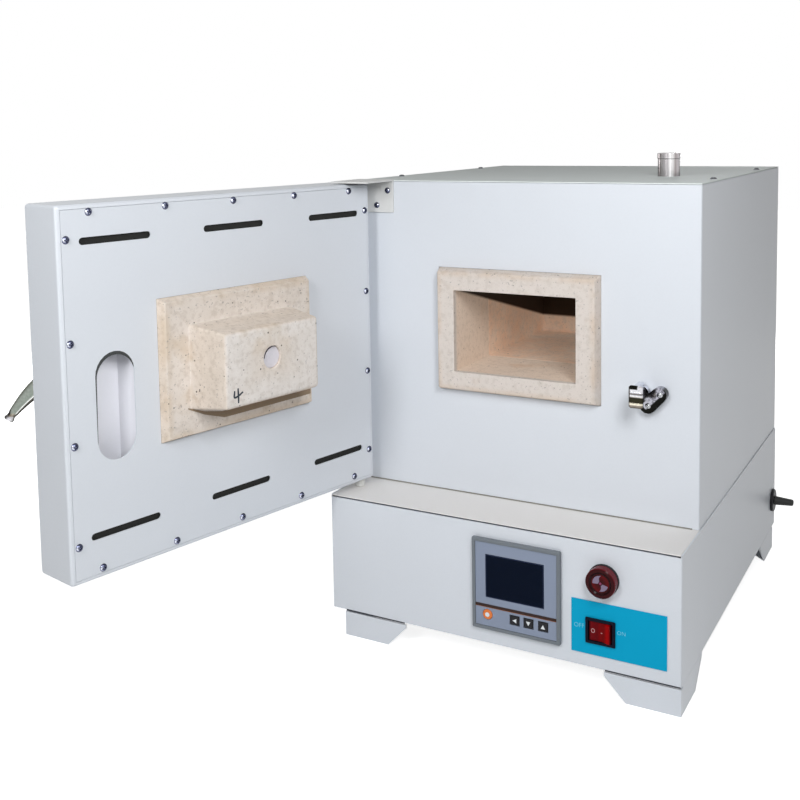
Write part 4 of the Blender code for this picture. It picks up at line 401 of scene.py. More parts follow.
# %% Plastics and prints
black_plastic = grained("black_moulded_plastic", (26, 26, 30), 1400, 0.45, 0.03, tone=0.08, specular=0.2)
bezel_plastic = grained("grey_bezel_plastic", (118, 124, 130), 1400, 0.5, 0.03, tone=0.05, specular=0.2)
face_film = grained("silver_face_film", (142, 152, 172), 1800, 0.4, 0.02, tone=0.05, specular=0.2)
orange_plastic = grained("orange_key_plastic", (226, 118, 44), 1400, 0.4, 0.02, tone=0.05)
switch_plastic = grained("black_switch_plastic", (14, 18, 32), 1400, 0.4, 0.02, tone=0.08, specular=0.06)
screen_glass = grained("screen_glass", (6, 16, 34), 300, 0.12, 0.01, strength=0.1, specular=0.03)
screen_rim = grained("screen_rim_print", (34, 44, 70), 900, 0.3, 0.01, 0.04, 0.1, specular=0.1)
stripe_print = grained("dark_stripe_print", (58, 42, 38), 1200, 0.4, 0.01, 0.1, 0.2, specular=0.1)
amber_print = grained("amber_stripe_print", (150, 92, 52), 1200, 0.4, 0.01, 0.1, 0.2, specular=0.1)
swirl_print = grained("lavender_swirl_print", (124, 108, 132), 1500, 0.5, 0.02, tone=0.15)
swirl_heart = grained("purple_dot_print", (120, 40, 80), 1500, 0.5, 0.02, tone=0.15)
pale_print = grained("pale_cyan_print", (120, 208, 228), 1500, 0.5, 0.01, 0.02, 0.2)
rosy_print = grained("rosy_print", (206, 160, 162), 1500, 0.5, 0.01, 0.02, 0.2)
white_print = grained("white_print", (232, 236, 238), 1500, 0.5, 0.01, 0.02, 0.2)
ink = grained("black_ink", (52, 58, 66), 1500, 0.7, 0.02, 0.4, 0.2)
print("grained finishes", len(bpy.data.materials))

# %% [markdown]
# Metals come next. Bare steel keeps the fine lines of the die or the belt it was drawn through, so
# its noise is stretched along the piece. Chrome is nearly a mirror, with only a faint unevenness.

# %% Metal finishes
EVEN_LINES, TUBE_LINES = (500.0, 500.0, 500.0), (900.0, 900.0, 20.0)


def metal(name, colour, gloss, lines, depth=0.01, strength=0.3):
    """A bare or plated metal; lines are cells per metre along X, Y and Z, depth in millimetres."""
    material, tree, shader = new_material(name, Metallic=1.0)
    out = use_group(tree, drawn, Place=object_place(tree), Colour=screen(*colour), Gloss=gloss, Lines=lines)
    dress(tree, shader, out, strength, depth * MM)
    return material


stainless = metal("drawn_stainless_tube", (176, 174, 170), 0.28, TUBE_LINES)
zinc = metal("zinc_plated_steel", (114, 120, 140), 0.28, (300, 300, 300))
chrome = metal("chrome_plate", (176, 178, 180), 0.10, (60, 60, 60), 0.005, 0.2)
brass = metal("turned_brass", (196, 160, 92), 0.3, (40, 40, 900))
dark_steel = metal("dark_plated_steel", (92, 94, 98), 0.3, (300, 300, 300))
aluminium = metal("milled_aluminium", (188, 190, 192), 0.35, (30, 700, 700))
print("materials", len(bpy.data.materials))

# %% [markdown]
# Polished castings need more. In a white room a mirror shows nothing, yet a real one shows the dark
# part of its surroundings along every edge that leans down or away. Each such piece therefore keeps
# one value per corner, its facing: how far the surface there leans towards a chosen side. A ramp of
# tones turns that value into a painted reflection of light and dark, with a painted highlight, as a
# string of stops, each a place and a colour.

# %% Facing and tone stops


def facing(mesh, side):
    """Stores on each corner how far its normal points to a side, from -1 to 1."""
    side = np.array(side, float)
    normals = np.empty(len(mesh.loops) * 3)
    mesh.corner_normals.foreach_get("vector", normals)
    layer = mesh.attributes.new("facing", "FLOAT", "CORNER")
    layer.data.foreach_set("value", normals.reshape(-1, 3) @ (side / np.linalg.norm(side)))


def facing_share(tree):
    """The facing value of -1 to 1, spread over 0 to 1."""
    return calculate(tree, "MULTIPLY_ADD", attribute(tree, "facing"), 0.5, 0.5)


def tones(tree, value, stops):
    """Turns a value into a colour by a list of (place, colour) stops with places from 0 to 1."""
    node = add(tree, "ShaderNodeValToRGB", {0: value})
    band = node.color_ramp
    while len(band.elements) < len(stops):
        band.elements.new(1.0)
    for element, (place, colour) in zip(band.elements, stops):
        element.position, element.color = place, screen(*colour)
    return node.outputs["Color"]


def plated(name, stops, gloss=0.15, lines=EVEN_LINES):
    """A plated metal whose painted reflection and highlight follow the piece's own facing value."""
    material, tree, shader = new_material(name, Metallic=1.0)
    picked = tones(tree, facing_share(tree), stops)
    out = use_group(tree, drawn, Place=object_place(tree), Colour=picked, Gloss=gloss, Lines=lines)
    dress(tree, shader, out, 0.3, 0.01 * MM)
    return material


print("tones follow the facing value")

# %% Plated finishes
# Painted reflection and highlight: dark stops stand for the dark surroundings seen in the metal, the palest stops
# for a lamp's glint.
cast_chrome = plated("chromed_casting", [
    (0.0, (30, 30, 28)), (0.28, (56, 56, 52)), (0.33, (228, 230, 228)), (0.38, (176, 182, 176)),
    (0.80, (158, 166, 160)), (1.0, (196, 200, 196))])
flue_shine = plated("polished_flue", [
    (0.0, (96, 90, 90)), (0.07, (120, 114, 114)), (0.12, (170, 166, 166)), (0.34, (186, 182, 184)),
    (0.44, (240, 238, 238)), (0.56, (226, 224, 224)), (0.66, (168, 160, 160)), (0.82, (186, 182, 184)),
    (0.92, (112, 106, 106)), (1.0, (92, 88, 88))], 0.2, TUBE_LINES)
screw_shine = plated("zinc_screw_heads", [
    (0.0, (40, 42, 60)), (0.50, (46, 50, 72)), (0.74, (60, 64, 88)), (0.83, (84, 88, 112)),
    (0.90, (104, 108, 132)), (0.95, (126, 130, 150)), (0.985, (190, 194, 206)),
    (1.0, (222, 224, 232))], 0.25)
print("plated finishes", cast_chrome.name, flue_shine.name, screw_shine.name)

# %% [markdown]
# The lever's chrome changes along its length: a smooth bar, a pinched neck and a flared lip each
# catch the room in their own way, drawn as painted reflection and highlight. So it keeps a second
# value, how far along it a point lies, and passes from one string of tones to the next.

# %% Lever finish


def lever_finish(name):
    """Chrome with painted reflection and highlight, toned across the bar by its facing value and, near
    the tip, by how far along it lies. From the lower edge up: a dark band of painted reflection, a thin
    painted highlight, a grey face, a dim upper edge."""
    material, tree, shader = new_material(name, Metallic=1.0)
    share, along = facing_share(tree), attribute(tree, "along")
    bar = tones(tree, share, [
        (0.0, (44, 44, 38)), (0.15, (74, 72, 66)), (0.19, (60, 58, 52)), (0.22, (240, 242, 240)),
        (0.26, (176, 180, 175)), (0.34, (122, 130, 122)), (0.80, (138, 144, 137)),
        (0.93, (112, 116, 108)), (1.0, (104, 106, 98))])
    neck = tones(tree, share, [
        (0.0, (40, 38, 34)), (0.20, (70, 66, 58)), (0.45, (150, 142, 130)),
        (0.62, (128, 120, 106)), (0.76, (26, 26, 24)), (1.0, (18, 18, 18))])
    lip = tones(tree, share, [
        (0.0, (70, 70, 68)), (0.16, (150, 150, 148)), (0.34, (206, 204, 208)), (0.56, (196, 194, 200)),
        (0.74, (120, 118, 120)), (0.86, (44, 44, 42)), (1.0, (92, 90, 88))])
    picked = blend_colours(tree, ramp(tree, along, 0.84, 0.90), bar, neck)
    picked = blend_colours(tree, ramp(tree, along, 0.915, 0.94), picked, lip)
    out = use_group(tree, drawn, Place=object_place(tree), Colour=picked, Gloss=0.2, Lines=EVEN_LINES)
    dress(tree, shader, out)
    return material


lever_chrome = lever_finish("chromed_lever")
print("finish", lever_chrome.name)

# %% [markdown]
# The keeper on the casing is a small chromed casting: a ribbed head in front, that the tongue of the
# latch slides behind, and a flat arm with two screws. Its ribs are too fine for one facing value, so
# its painted reflections and shade follow its own shape. The head is banded by height into painted
# reflection and highlight, with painted shade in its hollows. On the arm, the distance from the line
# between the two screws picks out the rim, painted dark as shade and reflection.

# %% Keeper's ribbed head
KEEPER_DARK = (22, 22, 20)
HEAD_FOOT, HEAD_HEIGHT = 283 * MM, 22.5 * MM
HOLLOWS = ((0.82, 0.86, 3.5 * MM, 2.5 * MM), (0.44, 0.52, 11.0 * MM, 10.4 * MM))


def keeper_head(tree, x, z, low_x):
    """Bands of painted reflection and highlight by height, as a share of the head's own, with painted shade
    in two hollows at the left. A hollow is (start, end) of its height and (start, end) of its distance
    left of the lower screw."""
    up = calculate(tree, "DIVIDE", calculate(tree, "SUBTRACT", z, HEAD_FOOT), HEAD_HEIGHT)
    olive, pale = (46, 44, 34), (205, 205, 210)
    banded = tones(tree, up, [
        (0.0, (120, 112, 102)), (0.13, (128, 120, 110)), (0.16, (210, 204, 188)), (0.21, (206, 200, 184)),
        (0.25, olive), (0.47, olive), (0.51, (196, 192, 190)), (0.58, pale), (0.62, (104, 100, 100)),
        (0.66, (120, 116, 116)), (0.70, pale), (1.0, pale)])
    dark = [calculate(tree, "MULTIPLY", ramp(tree, up, low, high),
                      ramp(tree, x, low_x - start, low_x - end, 1.0, 0.0))
            for low, high, start, end in HOLLOWS]
    return blend_colours(tree, calculate(tree, "MAXIMUM", *dark), banded, screen(*KEEPER_DARK))


print("keeper's head from", HEAD_FOOT, "to", HEAD_FOOT + HEAD_HEIGHT)

# %% Keeper's arm
ARM_RADIUS = 8.5 * MM
RING_SIDE, HEEL_END = (-3.0 * MM, -0.5 * MM), (0.0, 4.0 * MM)
STEM_ABOVE, STEM_RIGHT = (3.5 * MM, 4.5 * MM), (4.0 * MM, 5.0 * MM)


def keeper_arm(tree, place, x, z, low, high):
    """Let P be the point less the lower screw, and R the unit step towards the upper one. P dot R is
    how far along the arm the point lies, and |P - R * (P dot R)| how far off its middle line. The arm
    is grey, grainy towards its upper screw, and painted dark, as shade and reflection, at the rim of its
    lower right half and its end. Above the upper screw, on the side towards the head, a painted
    highlight turns it near white."""
    length = math.dist(low, high)
    run = ((high[0] - low[0]) / length, 0.0, (high[1] - low[1]) / length)
    flat = vectors(tree, "SUBTRACT", place, (low[0], 0.0, low[1]))
    flat = vectors(tree, "MULTIPLY", flat, (1.0, 0.0, 1.0))
    along = vectors(tree, "DOT_PRODUCT", flat, run)
    under = vectors(tree, "DOT_PRODUCT", flat, (run[2], 0.0, -run[0]))
    within = add(tree, "ShaderNodeClamp", {0: along, 1: 0.0, 2: length}).outputs[0]
    off = vectors(tree, "DISTANCE", flat, scaled(tree, run, within))
    ring = calculate(tree, "MULTIPLY", ramp(tree, off, ARM_RADIUS * 0.68, ARM_RADIUS * 0.80),
                     ramp(tree, under, *RING_SIDE))
    heel = calculate(tree, "MULTIPLY", ramp(tree, off, ARM_RADIUS * 0.45, ARM_RADIUS * 0.60),
                     ramp(tree, along, *HEEL_END, 1.0, 0.0))
    rim = calculate(tree, "MAXIMUM", calculate(tree, "MAXIMUM", ring, heel),
                    ramp(tree, under, ARM_RADIUS * 0.14, ARM_RADIUS * 0.30))
    boss = blend_colours(tree, ramp(tree, noise(tree, place, 600.0, 3.0), 0.35, 0.65),
                         screen(112, 112, 120), screen(170, 170, 180))
    face = blend_colours(tree, ramp(tree, within, 0.0, 0.5 * length), screen(160, 160, 168), boss)
    arm = blend_colours(tree, rim, face, screen(*KEEPER_DARK))
    stem = calculate(tree, "MULTIPLY", ramp(tree, z, *(high[1] + rise for rise in STEM_ABOVE)),
                     ramp(tree, x, *(low[0] + step for step in STEM_RIGHT), 1.0, 0.0))
    return blend_colours(tree, stem, arm, screen(226, 228, 236))


print("keeper's arm is", 2 * ARM_RADIUS, "wide at its ends")

# %% Keeper finish
KEEPER_GLOSS, HEAD_DEPTH, FADE = 0.12, 5 * MM, 0.2 * MM
strike_low, strike_high = corners("latch_strike")
LOW_SCREW, HIGH_SCREW = at_casing(143.0 * MM, 0, 281.0 * MM), at_casing(154.5 * MM, 0, 292.5 * MM)
low, high = (screw[[0, 2]].tolist() for screw in (LOW_SCREW, HIGH_SCREW))
strike_chrome, tree, shader = new_material("chromed_keeper", Metallic=1.0, Roughness=KEEPER_GLOSS)
place = object_place(tree)
x, y, z = split(tree, place)
behind = float(strike_low[1]) + HEAD_DEPTH
whole = blend_colours(tree, ramp(tree, y, behind - FADE, behind + FADE),
                      keeper_head(tree, x, z, low[0]), keeper_arm(tree, place, x, z, low, high))
out = use_group(tree, drawn, Place=place, Colour=whole, Gloss=KEEPER_GLOSS, Lines=EVEN_LINES)
fill(tree, shader, {"Base Color": out["Colour"]})
print("keeper finish on", np.round(strike_low, 4))

# %% [markdown]
# The rocker and the alarm's lens are clear red plastic over a dark body. Their bands of light and dark
# are painted highlight and shade, across the key on the one and out from the middle on the other. So
# one maker takes the share, from 0 to 1, that each of them counts in its own way.

# %% Red plastics
rocker_low, rocker_high = corners("switch_rocker")
lens_low, lens_high = corners("alarm_lens")


def across_key(tree, place):
    """0 at the rocker's left edge, 1 at its right edge."""
    from_left = calculate(tree, "SUBTRACT", split(tree, place)[0], float(rocker_low[0]))
    return calculate(tree, "DIVIDE", from_left, float(rocker_high[0] - rocker_low[0]))


def out_from_middle(tree, place):
    """0 at the lens's middle, 1 at its rim, counted in the plane of its front."""
    away = vectors(tree, "SUBTRACT", place, ((lens_low + lens_high) / 2).tolist())
    flat = vectors(tree, "MULTIPLY", away, (1.0, 0.0, 1.0))
    return calculate(tree, "DIVIDE", vectors(tree, "LENGTH", flat), float(lens_high[0] - lens_low[0]) / 2)


def shaded_red(name, share, stops, specular, tone, gloss):
    """Red plastic with painted highlight and shade, its tone following a share of the way across it."""
    material, tree, shader = new_material(name, Specular_IOR_Level=specular)
    picked = tones(tree, share(tree, object_place(tree)), stops)
    dress(tree, shader, use_group(tree, grain, Colour=picked, Cells=900.0, Tone=tone, Gloss=gloss,
                                  Gloss_drift=GLOSS_DRIFT))
    return material


rocker_finish = shaded_red("red_rocker_plastic", across_key, [
    (0.0, (60, 8, 16)), (0.12, (112, 14, 20)), (0.36, (100, 12, 18)), (0.50, (122, 10, 14)),
    (0.70, (112, 8, 10)), (0.82, (160, 6, 8)), (0.93, (156, 6, 10)), (1.0, (70, 6, 12))], 0.03, 0.05, 0.25)
lens_finish = shaded_red("dark_red_lens", out_from_middle, [
    (0.0, (44, 10, 14)), (0.28, (70, 8, 14)), (0.54, (96, 8, 14)), (0.62, (40, 6, 9)), (0.74, (36, 5, 8)),
    (0.80, (60, 7, 12)), (0.93, (52, 7, 10)), (0.97, (96, 20, 28)), (1.0, (104, 34, 42))], 0.08, 0.1, 0.14)
print("red plastics", rocker_finish.name, lens_finish.name)

# %% [markdown]
# The bricks are cast, not glazed: a chalky cream body with sand, pinholes and orange iron stains
# that gather along the edges. The edge mask needs the brick's own middle and half size. On the door
# the brick is turned with it, so a Mapping node turns the pattern back into the door's own axes.
# Inside the chamber the walls are lit by one another as much as by the lamps. A weak glow stands for
# that, painted light. Above a line that sinks towards the rear they are painted nearly black instead,
# a painted shadow of the mouth's top edge, and don't glow.

# %% Painted shadow and glow of the chamber
# Painted shadow: above the sloping line the chamber's walls take this near black, where the mouth's top edge
# shades them.
SHADOW_LINE_SLOPE, SHADOW_LINE_START, SHADOW_LINE_END, PAINTED_SHADOW = 0.265, 31.8 * MM, 35.6 * MM, (0.05, 0.035, 0.025, 1)
MOUTH_HALF_WIDTH, MOUTH_HALF_HEIGHT, MOUTH_START, MOUTH_END = 78 * MM, 54 * MM, -43 * MM, -36 * MM


def deepened(tree, own, colour, tint):
    """Tints what lies behind the chamber's mouth and paints a shadow on it above a sloping line. Returns
    the colour and the glow's colour, the glow being painted light. The shadow's line is where height +
    slope * depth, from the brick's middle, passes its start."""
    x, y, z = split(tree, own)
    wide = calculate(tree, "DIVIDE", calculate(tree, "ABSOLUTE", x), MOUTH_HALF_WIDTH)
    tall = calculate(tree, "DIVIDE", calculate(tree, "ABSOLUTE", z), MOUTH_HALF_HEIGHT)
    within = ramp(tree, calculate(tree, "MAXIMUM", wide, tall), 1.0, 1.02, 1.0, 0.0)
    behind = calculate(tree, "MULTIPLY", ramp(tree, y, MOUTH_START, MOUTH_END), within)
    colour = blend_colours(tree, behind, colour, vectors(tree, "MULTIPLY", colour, tint))
    line = calculate(tree, "ADD", z, calculate(tree, "MULTIPLY", y, SHADOW_LINE_SLOPE))
    above = calculate(tree, "MULTIPLY", behind, ramp(tree, line, SHADOW_LINE_START, SHADOW_LINE_END))
    below = calculate(tree, "MULTIPLY", behind, ramp(tree, line, SHADOW_LINE_START, SHADOW_LINE_END, 1.0, 0.0))
    colour = blend_colours(tree, above, colour, PAINTED_SHADOW)
    return colour, blend_colours(tree, below, (0, 0, 0, 1), colour)


print("painted shadow starts", SHADOW_LINE_START, "m above the middle of the mouth")

# %% Maker of brick finishes
STAIN_WIDTH = 4.0


def fired(name, body, stain, middle, half, angle=0.0, amount=0.35, pits=0.24, width=STAIN_WIDTH, tint=None,
          glow=0.0, sides=None):
    """A brick finish whose stains gather within a width, in millimetres, of the edges of a box of the
    given half size. Tint and glow are for the faces behind the chamber's mouth, the glow being painted
    light, and sides is a darker tint for the faces that don't look to the front, painted shade, read
    from the piece's facing value."""
    material, tree, shader = new_material(name, Roughness=0.95)
    own = add(tree, "ShaderNodeMapping", {"Vector": object_place(tree), "Location": middle,
                                          "Rotation": (0, 0, angle)}, vector_type="TEXTURE").outputs[0]
    mask = use_group(tree, near_edge, Place=own, Half_size=half, Width=width * MM)[0]
    out = use_group(tree, brick, Place=own, Body=screen(*body), Stain=screen(*stain), Stain_amount=amount,
                    Edge=mask, Pits=pits)
    colour = out["Colour"]
    # Painted shade: the faces that don't look to the front are tinted darker.
    if sides:
        front = ramp(tree, attribute(tree, "facing"), 0.6, 0.95)
        colour = blend_colours(tree, front, vectors(tree, "MULTIPLY", colour, sides), colour)
    if tint:
        colour, lit = deepened(tree, own, colour, tint)
        fill(tree, shader, {"Emission Color": lit, "Emission Strength": glow})
    fill(tree, shader, {"Base Color": colour, "Normal": bumped(tree, out["Height"], 0.7, 0.6 * MM)})
    return material


print("stains fade out over", STAIN_WIDTH, "mm, unless told otherwise")

# %% Brick finishes
PLENTY = 100 * MM  # a half size that no edge of the brick comes near
FRAME_HALF, PLATE_HALF = (88 * MM, PLENTY, 63.5 * MM), (90.5 * MM, PLENTY, 64 * MM)
CHAMBER_HALF, PLATE_MIDDLE_U = (69 * MM, PLENTY, 44.5 * MM), 193 * MM
brick_low, brick_high = corners("front_brick")
brick_middle = (brick_low + brick_high) / 2
plate_middle = at_door(PLATE_MIDDLE_U, 0, 0) * (1, 1, 0) + UP * brick_middle[2]
frame_brick = fired("frame_brick", (224, 214, 206), (208, 176, 142), tuple(brick_middle),
                    FRAME_HALF, pits=0.34, width=7.0, tint=(1.0, 0.90, 0.80), glow=0.17)
door_brick = fired("door_brick_cast", (236, 229, 223), (208, 186, 156), tuple(plate_middle),
                   PLATE_HALF, OPEN_ANGLE, amount=0.45, width=8.0, sides=(0.92, 0.86, 0.79))
chamber_clay = fired("chamber_clay", (234, 208, 186), (214, 170, 138), tuple(brick_middle),
                     CHAMBER_HALF, amount=0.3, pits=0.06, tint=(1.0, 0.95, 0.90), glow=0.20)
sheath_clay = fired("sheath_ceramic", (226, 216, 202), (206, 180, 150), tuple(brick_middle),
                    (PLENTY, PLENTY, PLENTY), amount=0.3, pits=0.02)
print("bricks centred at", [round(v, 4) for v in brick_middle])

# %% [markdown]
# ## Floor, backdrop and light
# The furnace stands on a plain pale floor. Camera rays see the floor's far part and the world as
# white, and so do reflections, while the object's own shadow stays on the floor. Two soft boxes stand
# close in front, a little above the casing: one to the left of the middle, one to the right. Their
# places and powers were found by trying many places one at a time, adding the results, and keeping
# the pair that came nearest to the tones of the painted sheets. The room itself adds very little. Two
# wide lamps stand low behind and far left. They reach nothing that the front view shows, and keep the
# rear and the outside of the door from going dark when the furnace is turned.

# %% World
scene = bpy.context.scene
scene.view_settings.view_transform = "Standard"
ROOM_LIGHT = 0.11


def sees_white(tree):
    """1 for the rays that see the room as white: from the camera, through glass, off a shiny piece."""
    path = tree.nodes.new("ShaderNodeLightPath").outputs
    seen = calculate(tree, "MAXIMUM", path["Is Camera Ray"], path["Is Transmission Ray"])
    return calculate(tree, "MAXIMUM", seen, path["Is Glossy Ray"])


world = bpy.data.worlds.new("studio")
scene.world = world
world.use_nodes = True
tree = world.node_tree
tree.nodes.clear()
room = add(tree, "ShaderNodeBackground", {"Color": (1.0, 1.0, 0.985, 1.0), "Strength": ROOM_LIGHT})
white = add(tree, "ShaderNodeBackground", {"Color": (1.0, 1.0, 1.0, 1.0), "Strength": 1.0})
mixed = add(tree, "ShaderNodeMixShader", {0: sees_white(tree), 1: room.outputs[0], 2: white.outputs[0]})
add(tree, "ShaderNodeOutputWorld", {"Surface": mixed.outputs[0]})
print("room light", ROOM_LIGHT)

# %% Floor
FLOOR_HALF, FLOOR_DROP = 6.0, 0.2 * MM
SHADE_NEAR, SHADE_FAR, SHADE_SHARE = 0.35, 1.0, 0.80
square = np.array([[-1, -1], [1, -1], [1, 1], [-1, 1]]) * FLOOR_HALF
floor_mesh = bpy.data.meshes.new("floor")
floor_mesh.from_pydata(np.column_stack([square, np.full(4, -FLOOR_DROP)]).tolist(), [], [(0, 1, 2, 3)])
floor = bpy.data.objects.new("floor", floor_mesh)
scene.collection.objects.link(floor)
floor_paint, tree, shader = new_material(
    "floor_white", Roughness=0.9, Base_Color=(0.86, 0.86, 0.86, 1), Specular_IOR_Level=0.0,
    Emission_Color=(1, 1, 1, 1))
away = vectors(tree, "LENGTH", object_place(tree))
glow = add(tree, "ShaderNodeEmission",
           {"Color": (1, 1, 1, 1), "Strength": ramp(tree, away, SHADE_NEAR, SHADE_FAR, SHADE_SHARE, 1.0)})
both = add(tree, "ShaderNodeAddShader", {0: shader.outputs[0], 1: glow.outputs[0]})
mixed = add(tree, "ShaderNodeMixShader", {0: sees_white(tree), 1: shader.outputs[0], 2: both.outputs[0]})
fill(tree, tree.nodes["Material Output"], {"Surface": mixed.outputs[0]})
floor_mesh.materials.append(floor_paint)
print("floor", FLOOR_HALF * 2, "m wide")

# %% Lamps
LAMP_COLOUR = (0.97, 0.985, 1.0)


def lamp(name, at, towards, width, height, watts):
    """A rectangular area lamp at a place, turned towards a point, itself unseen."""
    light = bpy.data.lights.new(name, "AREA")
    light.shape, light.size, light.size_y = "RECTANGLE", width, height
    light.energy, light.color = watts, LAMP_COLOUR
    made = bpy.data.objects.new(name, light)
    made.location = at
    made.rotation_euler = (Vector(towards) - Vector(at)).to_track_quat("-Z", "Y").to_euler()
    made.visible_camera = False
    scene.collection.objects.link(made)


# name, place and target from the middle of the casing's front, width, height, watts
LAMPS = (("left_lamp", (-0.1, -1.1, 0.8), (-0.08, -0.1, 0.33), 0.25, 0.35, 4.5),
         ("right_lamp", (0.5, -0.65, 0.8), (-0.08, -0.1, 0.33), 0.25, 0.35, 4.6),
         ("back_lamp", (-0.15, 1.9, 0.40), (0, 0.4, 0.28), 0.4, 0.5, 6.0),
         ("side_lamp", (-1.8, 0.6, 0.45), (-0.2, 0.1, 0.28), 0.5, 0.5, 7.0))
for name, at, towards, width, height, watts in LAMPS:
    lamp(name, at_casing(*at), at_casing(*towards), width, height, watts)
print("lamps", len(LAMPS))

# %% [markdown]
# ## Softened sheet, brick and plastic
# A solid's edges are mathematically sharp, but a folded sheet, a cast brick and a moulded case all
# catch a thin line of light along their edges. Each of these nodes is copied, its doubles are merged,
# pairs of flat triangles are joined, and a narrow Bevel rounds the edges that are left. The copy
# replaces its node, rides on the same body and stays in the same place.

# %% Maker of softened copies
FOLD_ANGLE = math.radians(30)


def body_of_node(node):
    """The CAD body that a node belongs to."""
    bodies = frame["record"]["behaviour"]["bodies"]
    return next(name for name, members in bodies.items() if node in members)


def softened(node, material, width, segments):
    """Copies a node, joins and cleans its mesh, and bevels its edges by the width in metres."""
    mesh = frame["nodes"][node].data.copy()
    mesh.name = node + "_soft"
    bm = bmesh.new()
    bm.from_mesh(mesh)
    bmesh.ops.remove_doubles(bm, verts=bm.verts, dist=1e-6)
    bmesh.ops.join_triangles(bm, faces=bm.faces, angle_face_threshold=math.radians(0.5),
                             angle_shape_threshold=math.radians(180))
    bm.to_mesh(mesh)
    bm.free()
    mesh.materials.clear()
    mesh.materials.append(material)
    mesh.shade_smooth()
    mesh.set_sharp_from_angle(angle=FOLD_ANGLE)
    made = bpy.data.objects.new(node + "_soft", mesh)
    scene.collection.objects.link(made)
    bevel = made.modifiers.new("edge", "BEVEL")
    bevel.width, bevel.segments, bevel.limit_method = width, segments, "ANGLE"
    bevel.angle_limit, bevel.use_clamp_overlap, bevel.miter_outer = FOLD_ANGLE, True, "MITER_ARC"
    even = made.modifiers.new("even_faces", "WEIGHTED_NORMAL")
    even.mode, even.weight, even.keep_sharp = "FACE_AREA", 100, True
    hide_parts(node)
    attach(made, body_of_node(node))
    return made


print("an edge is a fold above", round(math.degrees(FOLD_ANGLE)), "degrees")

# %% Softened copies
SHEET_EDGE, BRICK_EDGE, MOULD_EDGE, SMALL_EDGE, CAST_EDGE = 0.0004, 0.0007, 0.0003, 0.0002, 0.0009
SOFTENED = [
    ("casing_wrap base_shell foot_front_left foot_front_right foot_rear_left foot_rear_right",
     body_paint, SHEET_EDGE),
    ("casing_top", lit_top_paint, SHEET_EDGE), ("base_top", ledge_paint, SHEET_EDGE),
    ("door_shell door_inner_panel", door_paint, MOULD_EDGE), ("latch_box", lit_pocket_paint, MOULD_EDGE),
    ("hinge_bracket", lit_bracket_paint, SHEET_EDGE), ("front_brick", frame_brick, BRICK_EDGE),
    ("door_brick", door_brick, BRICK_EDGE), ("controller_case", bezel_plastic, MOULD_EDGE),
    ("switch_case", switch_plastic, MOULD_EDGE), ("switch_rocker", rocker_finish, MOULD_EDGE),
    ("flue_stub", flue_shine, SMALL_EDGE), ("thermocouple_head", aluminium, SMALL_EDGE),
    ("latch_rose", chrome, SMALL_EDGE), ("hinge_pin_bottom", pin_paint, SMALL_EDGE),
    ("cable_gland", black_plastic, SMALL_EDGE), ("gland_boot", rubber, SMALL_EDGE),
    ("alarm_body", black_plastic, SMALL_EDGE), ("key_set", orange_plastic, SMALL_EDGE),
    ("latch_spindle", zinc, SMALL_EDGE), ("plug_stopper", white_fibre, SMALL_EDGE),
    ("key_left key_down key_up", black_plastic, SMALL_EDGE), ("latch_strike", strike_chrome, CAST_EDGE)]
soft = {node: softened(node, material, width, 3 if width >= BRICK_EDGE else 2)
        for nodes, material, width in SOFTENED for node in nodes.split()}
FLUE_BRIGHT_SIDE = (0.875, 0.483, 0.0)
# The door brick's painted shade on its sides follows this facing value.
facing(soft["door_brick"].data, INWARD)
# The flue's painted reflection and highlight follow this facing value.
facing(soft["flue_stub"].data, FLUE_BRIGHT_SIDE)
print("softened copies", len(soft))

# %% [markdown]
# The other nodes keep their own mesh, because their edges are hidden or their shape is right as it
# stands, and get their finish straight in the material slot.

# %% Finishes on the nodes that stay
KEPT = {
    tray_paint: "casing_floor base_floor", body_paint: "casing_rear base_rear", chamber_clay: "muffle",
    fibre_board: "insulation_bottom insulation_top insulation_left insulation_right insulation_rear",
    # the door's fibre takes the near black of painted shade, seen through its slots
    slot_shade_fibre: "door_insulation", wire_metal: "heater_left heater_right", stainless: "flue_pipe",
    sheath_clay: "thermocouple_sheath", brass: "hinge_bush_bottom hinge_bush_top", zinc: "latch_tongue",
    face_film: "controller_face", screen_glass: "controller_screen", teal_paint: "switch_plate",
    aluminium: "relay_block", black_plastic: "terminal_strip", lens_finish: "alarm_lens",
}
for material, nodes in KEPT.items():
    for node in nodes.split():
        slots = frame["nodes"][node].material_slots
        if not slots:
            frame["nodes"][node].data.materials.append(material)
        for slot in slots:
            slot.material = material
print("nodes kept", sum(len(nodes.split()) for nodes in KEPT.values()))

# %% [markdown]
# ## Pan-head screws
# Zinc-plated pan heads with a cross recess hold the door's panel, the hinge bracket and the top
# cover. One head is a surface over a disc: its height falls off as a flattened dome, and a cross cut
# lowers it near the middle. The same surface, turned and moved as one array, makes every screw of a
# set, and the set is one mesh.

# %% Screw head surface
SEAT = 0.0001  # how far a head's rim stands above the sheet, and its skirt below


def screw_head(radius, height, rings=14, spokes=48):
    """Grid over a disc. Height = h * (1 - (r / R)^4) dome, minus a cross recess that is deep where the
    smaller of |x| and |y| is under the slot's half width and the larger is under its half length."""
    share = np.linspace(0.0, 1.0, rings)
    angle = np.linspace(0.0, 2 * np.pi, spokes, endpoint=False)
    r, a = np.meshgrid(radius * share ** 0.8, angle, indexing="ij")
    x, y = r * np.cos(a), r * np.sin(a)
    z = height * (1 - (r / radius) ** 4) + SEAT
    narrow, long = np.minimum(abs(x), abs(y)), np.maximum(abs(x), abs(y))
    cross = np.clip((0.17 * radius - narrow) / (0.05 * radius), 0, 1)
    cross = cross * np.clip((0.62 * radius - long) / (0.08 * radius), 0, 1)
    return np.stack([x, y, z - 0.55 * height * cross], -1)


